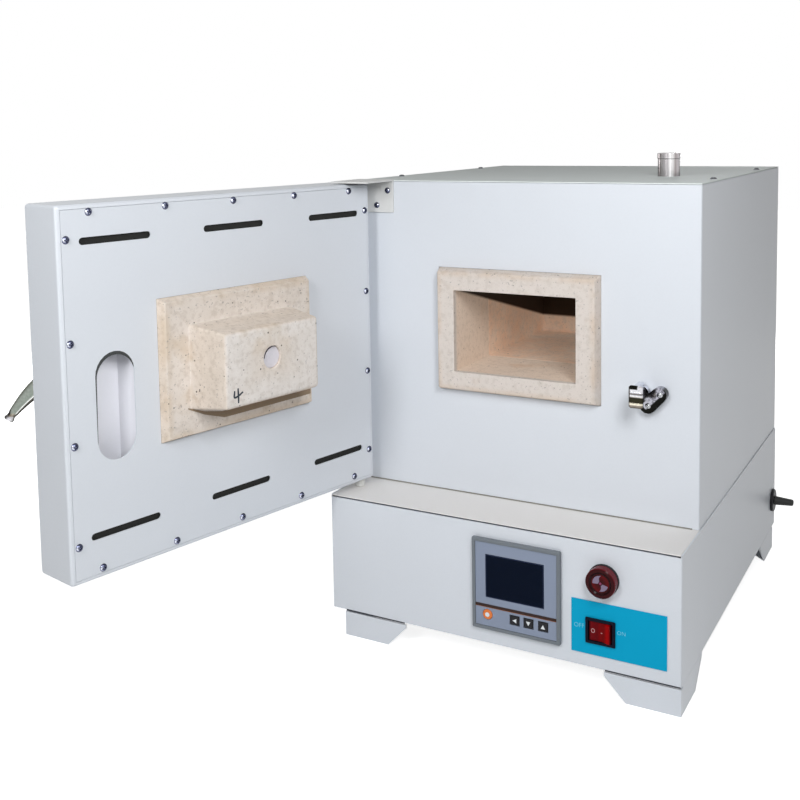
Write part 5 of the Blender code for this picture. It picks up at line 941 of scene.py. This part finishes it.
def grid_faces(rows, columns):
    """Quads of a grid that is closed round its columns."""
    i, j = np.meshgrid(np.arange(rows - 1), np.arange(columns), indexing="ij")
    k = (j + 1) % columns
    quads = [i * columns + j, (i + 1) * columns + j, (i + 1) * columns + k, i * columns + k]
    return np.stack(quads, -1).reshape(-1, 4)


print("points in a screw head", screw_head(1.0, 0.5).shape[:2])

# %% Mesh from arrays


def surface_piece(name, points, faces, material, body):
    """A mesh piece from arrays of points and faces, with its doubles merged and its faces outwards."""
    mesh = bpy.data.meshes.new(name)
    mesh.from_pydata(points.reshape(-1, 3).tolist(), [], [tuple(face) for face in faces.tolist()])
    bm = bmesh.new()
    bm.from_mesh(mesh)
    bmesh.ops.remove_doubles(bm, verts=bm.verts, dist=1e-7)
    bmesh.ops.recalc_face_normals(bm, faces=bm.faces)
    bm.to_mesh(mesh)
    bm.free()
    mesh.materials.append(material)
    mesh.shade_smooth()
    mesh.set_sharp_from_angle(angle=math.radians(40))
    made = bpy.data.objects.new(name, mesh)
    scene.collection.objects.link(made)
    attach(made, body)
    return made


# %% Set of equal screws
TURN_EACH = 2.4


def screw_set(name, places, normal, size, body, material):
    """A set of equal screws: each head's grid, with a skirt down to the sheet, turned a little its own
    way about its axis, laid on the plane with the given normal, and moved to its place."""
    normal = np.array(normal, float)
    side = np.cross(normal, UP)
    side = side / np.linalg.norm(side) if np.linalg.norm(side) > 0.1 else RIGHT
    over = np.cross(normal, side)
    head = screw_head(*size)
    skirt = head[-1:] * (1, 1, 0) - (0, 0, SEAT)
    grid = np.concatenate([head, skirt, skirt * (0, 0, 1)])
    flat = grid.reshape(-1, 3)
    faces = grid_faces(*grid.shape[:2])
    c, s = (f(np.arange(len(places)) * TURN_EACH)[:, None] for f in (np.cos, np.sin))
    spun = np.stack([flat[:, 0] * c - flat[:, 1] * s, flat[:, 0] * s + flat[:, 1] * c,
                     np.broadcast_to(flat[:, 2], (len(places), len(flat)))], -1)
    points = spun @ np.stack([side, over, normal]) + np.array(places)[:, None, :]
    shift = (np.arange(len(places)) * len(flat))[:, None, None]
    return surface_piece(name, points, (faces[None] + shift).reshape(-1, 4), material, body)


print("each screw is turned", TURN_EACH, "radians past the one before")

# %% Screws of the door's inner panel
ROW_START, ROW_STEP, ROW_LOW, ROW_HIGH = 32 * MM, 80.5 * MM, 9 * MM, 326 * MM
COLUMN_START, COLUMN_STEP, COLUMN_NEAR, COLUMN_FAR = 34 * MM, 89.8 * MM, 7.5 * MM, 377 * MM
PAN = (3.6 * MM, 1.9 * MM)  # radius and height of a head
door_places = [at_door(ROW_START + i * ROW_STEP, 0, z) for i in range(5) for z in (ROW_LOW, ROW_HIGH)]
door_places += [at_door(u, 0, COLUMN_START + i * COLUMN_STEP)
                for i in range(4) for u in (COLUMN_NEAR, COLUMN_FAR)]
door_screws = screw_set("door_screws", door_places, INWARD, PAN, "door", screw_shine)
# The screw heads' painted highlight and reflection follow this facing value.
facing(door_screws.data, 0.8 * ALONG + INWARD)
print("door screws", len(door_places))

# %% Screws of the casing
BRACKET_PAN, BRACKET_FACE = (3.4 * MM, 1.8 * MM), -2.3 * MM
BRACKET_SCREWS = ((-154 * MM, 490.5 * MM), (-168 * MM, 474 * MM))
KEEPER_PAN, ARM_BEHIND, KEEPER_HEIGHTS = (2.9 * MM, 1.6 * MM), 8.0 * MM, (280.1 * MM, 292.5 * MM)
COVER_SIDES, COVER_BACKS = (-184 * MM, 184 * MM), (86 * MM, 312 * MM)
REAR_SIDES, PANEL_HEIGHTS = (-176 * MM, 176 * MM), ((182, 330, 476), (46, 141))

arm_face = strike_high[1] - ARM_BEHIND
keeper = [(x, arm_face, z)
          for x, z in zip((LOW_SCREW[0] + 0.5 * MM, HIGH_SCREW[0] + 1.0 * MM), KEEPER_HEIGHTS)]
screw_set("keeper_screws", keeper, (0, -1, 0), KEEPER_PAN, "furnace", chrome)
bracket = [at_casing(x, BRACKET_FACE, z) for x, z in BRACKET_SCREWS]
bracket_screws = screw_set("bracket_screws", bracket, (0, -1, 0), BRACKET_PAN, "furnace", screw_shine)
# The screw heads' painted highlight and reflection follow this facing value.
facing(bracket_screws.data, (0.6, -1.0, 0.4))
cover = [at_casing(x, y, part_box("casing_top")[1][2]) for x in COVER_SIDES for y in COVER_BACKS]
screw_set("cover_screws", cover, (0, 0, 1), PAN, "furnace", dark_steel)
rear = [(FRONT[0] + x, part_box("casing_rear")[1][1], z * MM)
        for heights in PANEL_HEIGHTS for x in REAR_SIDES for z in heights]
screw_set("rear_screws", rear, (0, 1, 0), PAN, "furnace", zinc)
print("casing screws", len(bracket) + len(keeper) + len(cover) + len(rear))

# %% [markdown]
# ## Latch lever
# The lever behind the door is a flat bar that tapers from its hub and ends in a flared lip. It is a
# surface along a path: a rounded oblong ring is set across the path at every step, its two half
# sizes read from a short table, and the ends are closed. Its hub is a low turned drum.

# %% Swept surface


def swept(centres, wide, thick, across, power=0.7, spokes=40):
    """Rings along a path. Each ring is centre + across * wide * c + over * thick * s, where c and s are
    the cosine and the sine raised to a power below one, which squares the ring off."""
    run = np.gradient(centres, axis=0)
    run = run / np.linalg.norm(run, axis=1, keepdims=True)
    across = across - run * (run @ across)[:, None]
    across = across / np.linalg.norm(across, axis=1, keepdims=True)
    over = np.cross(run, across)
    a = np.linspace(0, 2 * np.pi, spokes, endpoint=False)
    c, s = (np.sign(wave) * abs(wave) ** power for wave in (np.cos(a), np.sin(a)))
    rings = (centres[:, None] + across[:, None] * (wide[:, None] * c)[..., None]
             + over[:, None] * (thick[:, None] * s)[..., None])
    ends = [np.repeat(rings[i:i + 1].mean(1, keepdims=True), spokes, 1) for i in (0, len(rings) - 1)]
    return np.concatenate([ends[0], rings, ends[1]])


print("rings of a short rod", swept(np.linspace([0, 0, 0], [1, 0, 0], 3), np.ones(3), np.ones(3), UP).shape)

# %% Lever along its bend
SPINDLE_U, SPINDLE_Z = 360 * MM, 171 * MM
ROOT, BEND, TIP = (360, 63.5, 173), (374.3, 79.0, 160.0), (388.6, 90.8, 134.6)
STATIONS = [0.0, 0.5, 0.86, 0.895, 0.92, 0.96, 0.985, 1.0]
HALF_WIDTHS = [9.8, 6.9, 4.3, 3.6, 3.7, 4.7, 4.5, 3.2]
HALF_THICKNESSES = [4.6, 3.2, 2.1, 1.7, 2.0, 2.5, 2.1, 0.9]
SIGHT = np.array([-0.733, 0.670, -0.12])  # the way the camera looks at the lever

t = np.linspace(0, 1, 60)[:, None]
root, bend, tip = (at_door(*(np.array(place) * MM)) for place in (ROOT, BEND, TIP))
centres = (1 - t) ** 2 * root + 2 * t * (1 - t) * bend + t ** 2 * tip
wide, thick = (np.interp(t[:, 0], STATIONS, sizes) * MM for sizes in (HALF_WIDTHS, HALF_THICKNESSES))
side_on = np.cross(tip - root, SIGHT)
rings = swept(centres, wide, thick, side_on, 0.45)
lever = surface_piece("lever_bar", rings, grid_faces(*rings.shape[:2]), lever_chrome, "latch")
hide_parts("latch_handle")
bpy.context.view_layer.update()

# %% Values that the lever's finish reads
points = np.empty(len(lever.data.vertices) * 3)
lever.data.vertices.foreach_get("co", points)
points = points.reshape(-1, 3)
nearest = abs(points[:, None] - centres[None]).sum(-1).argmin(1)
upwards = side_on / np.linalg.norm(side_on) * np.sign(side_on[2])
share_up = np.clip(((points - centres[nearest]) @ upwards) / wide[nearest], -1, 1)
# The facing value here is the share across the bar, which places the lever's painted reflection and highlight.
for layer, values in (("facing", share_up), ("along", t[nearest, 0])):
    lever.data.attributes.new(layer, "FLOAT", "POINT").data.foreach_set("value", values)
print("lever values on", len(points), "points")

# %% Hub of the lever
HUB_RADIUS, HUB_FOOT, HUB_HEAD = 11.4 * MM, 54.7 * MM, 67.0 * MM
share = np.linspace(0, 1, 22)
radius = HUB_RADIUS * np.where(share < 0.5, 1.0, np.sqrt(np.clip(1 - ((share - 0.5) / 0.5) ** 4, 0, 1)))
height = HUB_FOOT + (HUB_HEAD - HUB_FOOT) * np.where(share < 0.5, share * 1.4, 0.7 + (share - 0.5) * 0.6)
a = np.linspace(0, 2 * np.pi, 56, endpoint=False)
drum = (at_door(SPINDLE_U, 0, SPINDLE_Z) + ALONG * (radius[:, None] * np.cos(a))[..., None]
        + UP * (radius[:, None] * np.sin(a))[..., None] - INWARD * height[:, None, None])
drum = np.concatenate([np.repeat(drum[:1].mean(1, keepdims=True), len(a), 1), drum])
hub = surface_piece("lever_hub", drum, grid_faces(*drum.shape[:2]), cast_chrome, "latch")
# The hub's painted reflection follows this facing value.
facing(hub.data, (-0.55, -0.25, 0.8))
print("hub from", HUB_FOOT, "to", HUB_HEAD)

# %% [markdown]
# ## Painted shade in the seams and the hinge's gap
# A dark strip fills each seam between a front foot and the plinth, and a grey one lies behind the seam
# of the ledge: both are painted shade in those seams. A thin bead seals the foot of the casing. A thin
# strip of the black rubber fills the slit between the hinge bracket's top flange and the door, painted
# shade under the flange. All are swept from an oblong ring.

# %% Painted shade strips in the seams
FOOT_SEAM, LEDGE_SEAM, CASING_SEAM = (-69.7, 28.85), (-67.4, 155.9), (-0.4, 158.5)
for name, start, end, (back, above), half_height, material in (
        ("foot_seam_shade_left", -176.5, -103.6, FOOT_SEAM, 0.75, foot_seam_shade),
        ("foot_seam_shade_right", 119.6, 193.2, FOOT_SEAM, 0.75, foot_seam_shade),
        ("ledge_seam_shade_strip", -188.0, 188.0, LEDGE_SEAM, 0.95, ledge_seam_shade),
        ("casing_bead", -186.0, 186.0, CASING_SEAM, 0.6, olive_seam)):
    line = np.linspace(*(at_casing(x * MM, back * MM, above * MM) for x in (start, end)), 12)
    half = np.full(12, half_height * MM)
    rings = swept(line, half, half * 1.1, UP, 0.6, 24)
    surface_piece(name, rings, grid_faces(*rings.shape[:2]), material, "furnace")
    print(name, round(end - start, 1), "mm long")

# %% Painted shade in the hinge's gap
# Painted shade: a thin dark strip put in the slit under the hinge bracket's top flange, where shade falls.
GAP_SHADE_LEFT, GAP_SHADE_RIGHT, GAP_SHADE_BACK, GAP_SHADE_HEIGHT = -189 * MM, -150 * MM, -31 * MM, 500.9 * MM
GAP_SHADE_HALF, GAP_SHADE_CROWN, GAP_SHADE_HALF_THICK = 24.5 * MM, 3.0 * MM, 0.42 * MM
line = np.linspace(*(at_casing(x, GAP_SHADE_BACK, GAP_SHADE_HEIGHT) for x in (GAP_SHADE_LEFT, GAP_SHADE_RIGHT)), 30)
wide = GAP_SHADE_HALF - GAP_SHADE_CROWN * np.linspace(-1, 1, 30) ** 2
rings = swept(line, wide, np.full(30, GAP_SHADE_HALF_THICK), np.array([0.0, 1.0, 0.0]), 0.4, 32)
surface_piece("hinge_gap_shade", rings, grid_faces(*rings.shape[:2]), rubber, "furnace")
print("gap_shade", GAP_SHADE_RIGHT - GAP_SHADE_LEFT, "m long")

# %% [markdown]
# ## Prints and marks
# The controller's stripe and arrows, the words by the switch, the marks on the rocker and the number
# inked on the plug are thin films. A flat shape is drawn as an outline in its own plane, filled, and
# laid a hair in front of the face that carries it. Only plain words, arrows and a number are drawn.

# %% Flat films
HAIR, THIN, THICK = 0.0001, 0.00006, 0.00008


def film_from_curve(name, curve, origin, material, body, right, up):
    """Makes a flat curve or word a mesh, then lays it on its plane."""
    guide = bpy.data.objects.new(name + "_guide", curve)
    scene.collection.objects.link(guide)
    bpy.context.view_layer.update()
    mesh = bpy.data.meshes.new_from_object(guide.evaluated_get(bpy.context.evaluated_depsgraph_get()))
    bpy.data.objects.remove(guide, do_unlink=True)
    turn = Matrix((Vector(right), Vector(up), Vector(np.cross(right, up)))).transposed().to_4x4()
    mesh.transform(Matrix.Translation(Vector(origin)) @ turn)
    mesh.materials.clear()
    mesh.materials.append(material)
    mesh.name = name
    made = bpy.data.objects.new(name, mesh)
    scene.collection.objects.link(made)
    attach(made, body)
    return made


def film(name, outlines, origin, material, body="furnace", right=RIGHT, up=UP, thickness=THICK):
    """A thin film: outlines in metres across (right, up) from the origin, filled and made solid."""
    curve = bpy.data.curves.new(name, "CURVE")
    curve.dimensions, curve.fill_mode, curve.extrude = "2D", "BOTH", thickness
    for outline in outlines:
        spline = curve.splines.new("POLY")
        spline.points.add(len(outline) - 1)
        flat = np.column_stack([np.array(outline, float), np.zeros(len(outline)), np.ones(len(outline))])
        spline.points.foreach_set("co", flat.ravel())
        spline.use_cyclic_u = True
    return film_from_curve(name, curve, origin, material, body, right, up)


def word(name, text, size, origin, material):
    """A plain word as a film, centred on the origin."""
    curve = bpy.data.curves.new(name, "FONT")
    curve.body, curve.size, curve.extrude = text, size, THIN
    curve.align_x, curve.align_y, curve.offset = "CENTER", "CENTER", -0.012 * size
    return film_from_curve(name, curve, origin, material, "furnace", RIGHT, UP)


print("films lie", HAIR, "m in front of their face")

# %% Outlines and places on a face


def on_face(node, x, z, proud=0.00012):
    """A point a hair in front of a node's front, counted from its left and top edges."""
    low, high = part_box(node)
    return np.array([low[0] + x, low[1] - proud, high[2] - z])


def rectangle(left, bottom, right, top):
    """Outline of an upright oblong."""
    return [(left, bottom), (right, bottom), (right, top), (left, top)]


def disc_outline(radius, steps=28):
    """Points round a circle."""
    a = np.linspace(0, 2 * np.pi, steps, endpoint=False)
    return np.stack([radius * np.cos(a), radius * np.sin(a)], -1)


print("corners of an outline", len(rectangle(0, 0, 1, 1)), "points of a disc", len(disc_outline(1)))

# %% Controller prints
face_low, face_high = corners("controller_face")
glass_low, glass_high = corners("controller_screen")
face_width = face_high[0] - face_low[0]
glass_width, _, glass_height = glass_high - glass_low
inset = face_low[0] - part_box("controller_case")[0][0]
STRIPE_DROP, STRIPE_HALF, LINE_HEIGHT, RIM = 70.6 * MM, 1.7 * MM, 0.45 * MM, 0.8 * MM
drop = STRIPE_DROP - inset
film("controller_stripe", [rectangle(0, -STRIPE_HALF, face_width, STRIPE_HALF)],
     on_face("controller_face", 0, drop), stripe_print)
film("screen_rim", [rectangle(0, 0, glass_width, -glass_height),
                    rectangle(RIM, -RIM, glass_width - RIM, RIM - glass_height)[::-1]],
     on_face("controller_screen", 0, 0), screen_rim, thickness=0.00005)
print("controller prints on", np.round(face_low, 4))

# %% Arrows on the keys
ARROW_SIZE, KEY_TURNS = 4.2 * MM, {"key_left": 0, "key_down": 90, "key_up": -90}
arrow = np.array([(-0.5, 0.0), (0.5, 0.55), (0.5, -0.55)]) * ARROW_SIZE
for key, degrees in KEY_TURNS.items():
    low, high = corners(key)
    c, s = math.cos(math.radians(degrees)), math.sin(math.radians(degrees))
    x, _, z = (low + high) / 2
    film(key + "_arrow", [arrow @ np.array([[c, s], [-s, c]])], (x, low[1] - 1.2 * HAIR, z), white_print,
         "button" + key[3:])
print("arrows", len(KEY_TURNS))

# %% Line below the stripe, frames round the keys and the light spot
FRAME_WIDE, FRAME_TALL, FRAME_GAP, SPOT_RADIUS = (size * MM for size in (5.4, 5.2, 0.25, 2.4))
film("controller_stripe_edge", [rectangle(0, 0, face_width, LINE_HEIGHT)],
     on_face("controller_face", 0, drop + STRIPE_HALF, 2 * HAIR), amber_print)
for key in KEY_TURNS:
    low, high = corners(key)
    x, _, z = (low + high) / 2
    gap = (high[0] - low[0]) / 2 + FRAME_GAP
    film(key + "_frame", [rectangle(-FRAME_WIDE, -FRAME_TALL, FRAME_WIDE, FRAME_TALL),
                          rectangle(-gap, -gap, gap, gap)[::-1]], (x, face_low[1] - HAIR, z), black_plastic)
low, high = corners("key_set")
x, _, z = (low + high) / 2
film("key_set_dot", [disc_outline(SPOT_RADIUS)], (x, low[1] - 1.2 * HAIR, z), white_print, "button_set")

# %% Words beside the switch
switch_low, switch_high = corners("switch_case")
switch_x, _, switch_z = (switch_low + switch_high) / 2
word_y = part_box("switch_plate")[0][1] - HAIR
OFF_SIZE, OFF_GAP, OFF_RISE, ON_SIZE, ON_GAP, ON_RISE = (
    size * MM for size in (6.2, 6.8, 2.2, 5.6, 5.7, 2.6))
word("word_off", "OFF", OFF_SIZE, (switch_low[0] - OFF_GAP, word_y, switch_z + OFF_RISE), pale_print)
word("word_on", "ON", ON_SIZE, (switch_high[0] + ON_GAP, word_y, switch_z + ON_RISE), pale_print)
print("words beside the switch at height", round(float(switch_z), 4))

# %% [markdown]
# The rocker leans, so its marks need its own slope: a ray is sent at it from the front at two places
# beside each other, and the two hits give the point and the direction to the right.

# %% Marks on the rocker
RAY_STEP = 0.4 * MM


def hits(node, places):
    """Where rays sent backwards from the front at (x, z) places meet a node."""
    solid = frame["nodes"][node]
    tree = BVHTree.FromPolygons([v.co for v in solid.data.vertices],
                                [p.vertices for p in solid.data.polygons])
    back = solid.matrix_world.inverted()
    ahead = (back.to_3x3() @ Vector((0, 1, 0))).normalized()
    starts = [back @ Vector((x, FRONT[1] - 0.2, z)) for x, z in places]
    return [np.array(solid.matrix_world @ tree.ray_cast(start, ahead)[0]) for start in starts]


def mark_on(name, x, z, outlines):
    """Lays a film on the rocker's leaning face, which looks to the front."""
    here, beside = hits("switch_rocker", [(x, z), (x + RAY_STEP, z)])
    right = (beside - here) / np.linalg.norm(beside - here)
    proud = here + np.cross(right, UP) * HAIR
    return film(name, outlines, proud, rosy_print, "rocker", right, thickness=THIN)


RING_OUTER, RING_INNER, RING_LEFT = (1.9 * MM, 2.2 * MM), (1.35 * MM, 1.65 * MM), 7.3 * MM
DASH_HALF, DASH_RIGHT, RISE = 1.1 * MM, 1.5 * MM, 0.3 * MM
circle = disc_outline(1.0, 32)
ring, dash = [circle * RING_OUTER, circle[::-1] * RING_INNER], rectangle(-DASH_HALF, -RISE, DASH_HALF, RISE)
mark_on("rocker_ring", switch_x - RING_LEFT, switch_z + RISE, ring)
mark_on("rocker_dash", switch_x + DASH_RIGHT, switch_z - RISE, [dash])
print("marks on the rocker at", round(float(switch_x), 4))

# %% [markdown]
# The alarm's lens carries a swirl of two pale blades round a purple heart. Each blade is an arc band
# whose sides swing from one pair of angles near the heart to another at the rim.

# %% Swirl of the alarm
lens_x, _, lens_z = (lens_low + lens_high) / 2
DISH, BLADE_START, BLADE_LENGTH, HEART_RADIUS = 1.2 * MM, 2.4 * MM, 5.4 * MM, 1.3 * MM
BLADES = ((112, 190, 84, 184), (284, 350, 262, 346))
steps = np.linspace(0, 1, 16)
radius = BLADE_START + BLADE_LENGTH * steps
for index, (inner_from, inner_to, outer_from, outer_to) in enumerate(BLADES):
    first = np.radians(inner_from + (outer_from - inner_from) * steps ** 2)
    second = np.radians(inner_to + (outer_to - inner_to) * steps)
    arc = np.linspace(first[-1], second[-1], 16)[1:-1]
    far = np.concatenate([radius, np.full(len(arc), radius[-1]), radius[::-1]])
    angle = np.concatenate([first, arc, second[::-1]])
    blade = np.stack([far * np.cos(angle), far * np.sin(angle)], -1)
    film("alarm_blade_%d" % index, [blade], (lens_x, lens_low[1] + DISH - HAIR, lens_z), swirl_print)
film("alarm_heart", [disc_outline(HEART_RADIUS)], (lens_x, lens_low[1] + DISH - 1.5 * HAIR, lens_z),
     swirl_heart)
print("swirl at", round(float(lens_x), 4), round(float(lens_z), 4))

# %% [markdown]
# Furnace plugs are numbered by hand, because each is fitted to its own frame. The number on this one
# is a plain four in two strokes of a worn marker. A stroke is its middle line moved to either side.

# %% Number on the plug
STROKES = [[(3.2, 5.6), (3.5, 3.2), (4.0, 0.6), (3.4, -0.7), (1.2, -0.6), (-2.0, 0.5), (-6.6, 3.0)],
           [(-0.9, 7.4), (-1.0, 3.0), (-1.2, -2.0), (-1.0, -6.6)]]
PLUG_FACE, NUMBER_U, NUMBER_Z, STROKE_WIDTH = -52.95 * MM, 239.0 * MM, 149.0 * MM, 1.5 * MM


def stroke(points, width):
    """Outline of a pen stroke: each side is the line moved across itself by a half width that swells a
    little in the middle."""
    run = np.gradient(points, axis=0)
    across = np.stack([-run[:, 1], run[:, 0]], -1) / np.linalg.norm(run, axis=1, keepdims=True)
    half = across * (width / 2 * (1 + 0.25 * np.sin(np.linspace(0, np.pi, len(points)))))[:, None]
    return np.concatenate([points + half, (points - half)[::-1]])


number_at = at_door(NUMBER_U, PLUG_FACE, NUMBER_Z)
for index, points in enumerate(STROKES):
    path = np.array(points) * MM * (-1, 1)
    dense = np.linspace(0, len(path) - 1, 24)
    smooth = np.stack([np.interp(dense, np.arange(len(path)), path[:, k]) for k in (0, 1)], -1)
    film("plug_number_%d" % index, [stroke(smooth, STROKE_WIDTH)], number_at, ink, "door", -ALONG,
         thickness=THIN)
print("number on the plug at", np.round(number_at, 4))

# %% [markdown]
# Two painted shadows lie on the door's brick: a brown line on the plate just below the plug, thin at
# its ends, and a dark crescent that runs part of the way round the stopper. Both are films, because
# their edges are sharp. The line has an upper and a lower edge of six points each, as (u, height). The
# crescent is an arc with a depth that swells in the middle.

# %% Painted shadows on the door's brick
PLATE_FACE = -8.6 * MM
UPPER_EDGE = [(262.0, 135.5), (242.6, 128.5), (222.0, 124.2), (204.0, 123.9), (119.0, 123.4), (104.0, 123.6)]
LOWER_EDGE = [(262.0, 134.2), (242.7, 125.2), (219.0, 117.6), (204.0, 117.6), (119.0, 118.0), (104.0, 118.3)]
STOPPER_MIDDLE, STOPPER_RADIUS = (194.7, 178.3), 10.8
band = np.array(UPPER_EDGE + LOWER_EDGE[::-1]) * (-MM, MM)
# Painted shadow: the brown line stands for the plug's shadow on the plate.
film("painted_plug_shadow", [band], at_door(0, PLATE_FACE, 0), plug_shadow_paint, "door", -ALONG, thickness=THIN)
turn = np.radians(np.linspace(2, 115, 24))
arc = np.stack([np.cos(turn), np.sin(turn)], -1)
depth = 0.4 + 0.9 * np.sin(np.linspace(0.5, np.pi, 24))
stopper_shade_outline = np.concatenate([arc * STOPPER_RADIUS, (arc * (STOPPER_RADIUS - depth)[:, None])[::-1]])
# Painted shade: the dark crescent stands for the shade in the gap round the stopper.
film("stopper_rim_shade", [(stopper_shade_outline + STOPPER_MIDDLE) * (-MM, MM)], at_door(0, PLUG_FACE, 0), shade_brown, "door",
     -ALONG, thickness=THIN)
print("painted plug shadow", len(band), "points, crack", len(stopper_shade_outline))

# %% [markdown]
# Inside the mouth of the latch's pocket a dark strip is painted shade under the rim. It follows the
# right side and the arched top of the mouth, and its depth is read from a short table by the angle
# round the arch.

# %% Painted shade in the latch pocket's mouth
POCKET_MIDDLE, POCKET_HALF_WIDTH, POCKET_HALF_HEIGHT = (333.8, 151.8), 20.2, 49.0
ARCH_ANGLES, ARCH_DEPTHS = [0, 40, 90, 130, 172], [1.7, 3.2, 3.4, 2.4, 0.4]
SIDE_START, SIDE_DEPTHS, RIM_SHADE_BEHIND, RIM_SHADE_HALF = -38, (0.5, 1.5), 0.6 * MM, 0.3 * MM
arch = POCKET_HALF_HEIGHT - POCKET_HALF_WIDTH
turn = np.radians(np.linspace(0, ARCH_ANGLES[-1], 40))
normal = np.concatenate([np.tile([1.0, 0.0], (12, 1)), np.stack([np.cos(turn), np.sin(turn)], -1)])
start = np.concatenate([np.linspace(SIDE_START, arch - 2, 12), np.full(40, arch)])
rim = normal * POCKET_HALF_WIDTH + start[:, None] * (0, 1)
depth = np.concatenate([np.linspace(*SIDE_DEPTHS, 12),
                        np.interp(np.degrees(turn), ARCH_ANGLES, ARCH_DEPTHS)])
lip = np.concatenate([rim, (rim - normal * depth[:, None])[::-1]])
film("pocket_rim_shade_film", [(lip + POCKET_MIDDLE) * (-MM, MM)], at_door(0, RIM_SHADE_BEHIND, 0), pocket_rim_shade, "door", -ALONG,
     thickness=RIM_SHADE_HALF)
print("pocket lip laid", len(lip), "points")
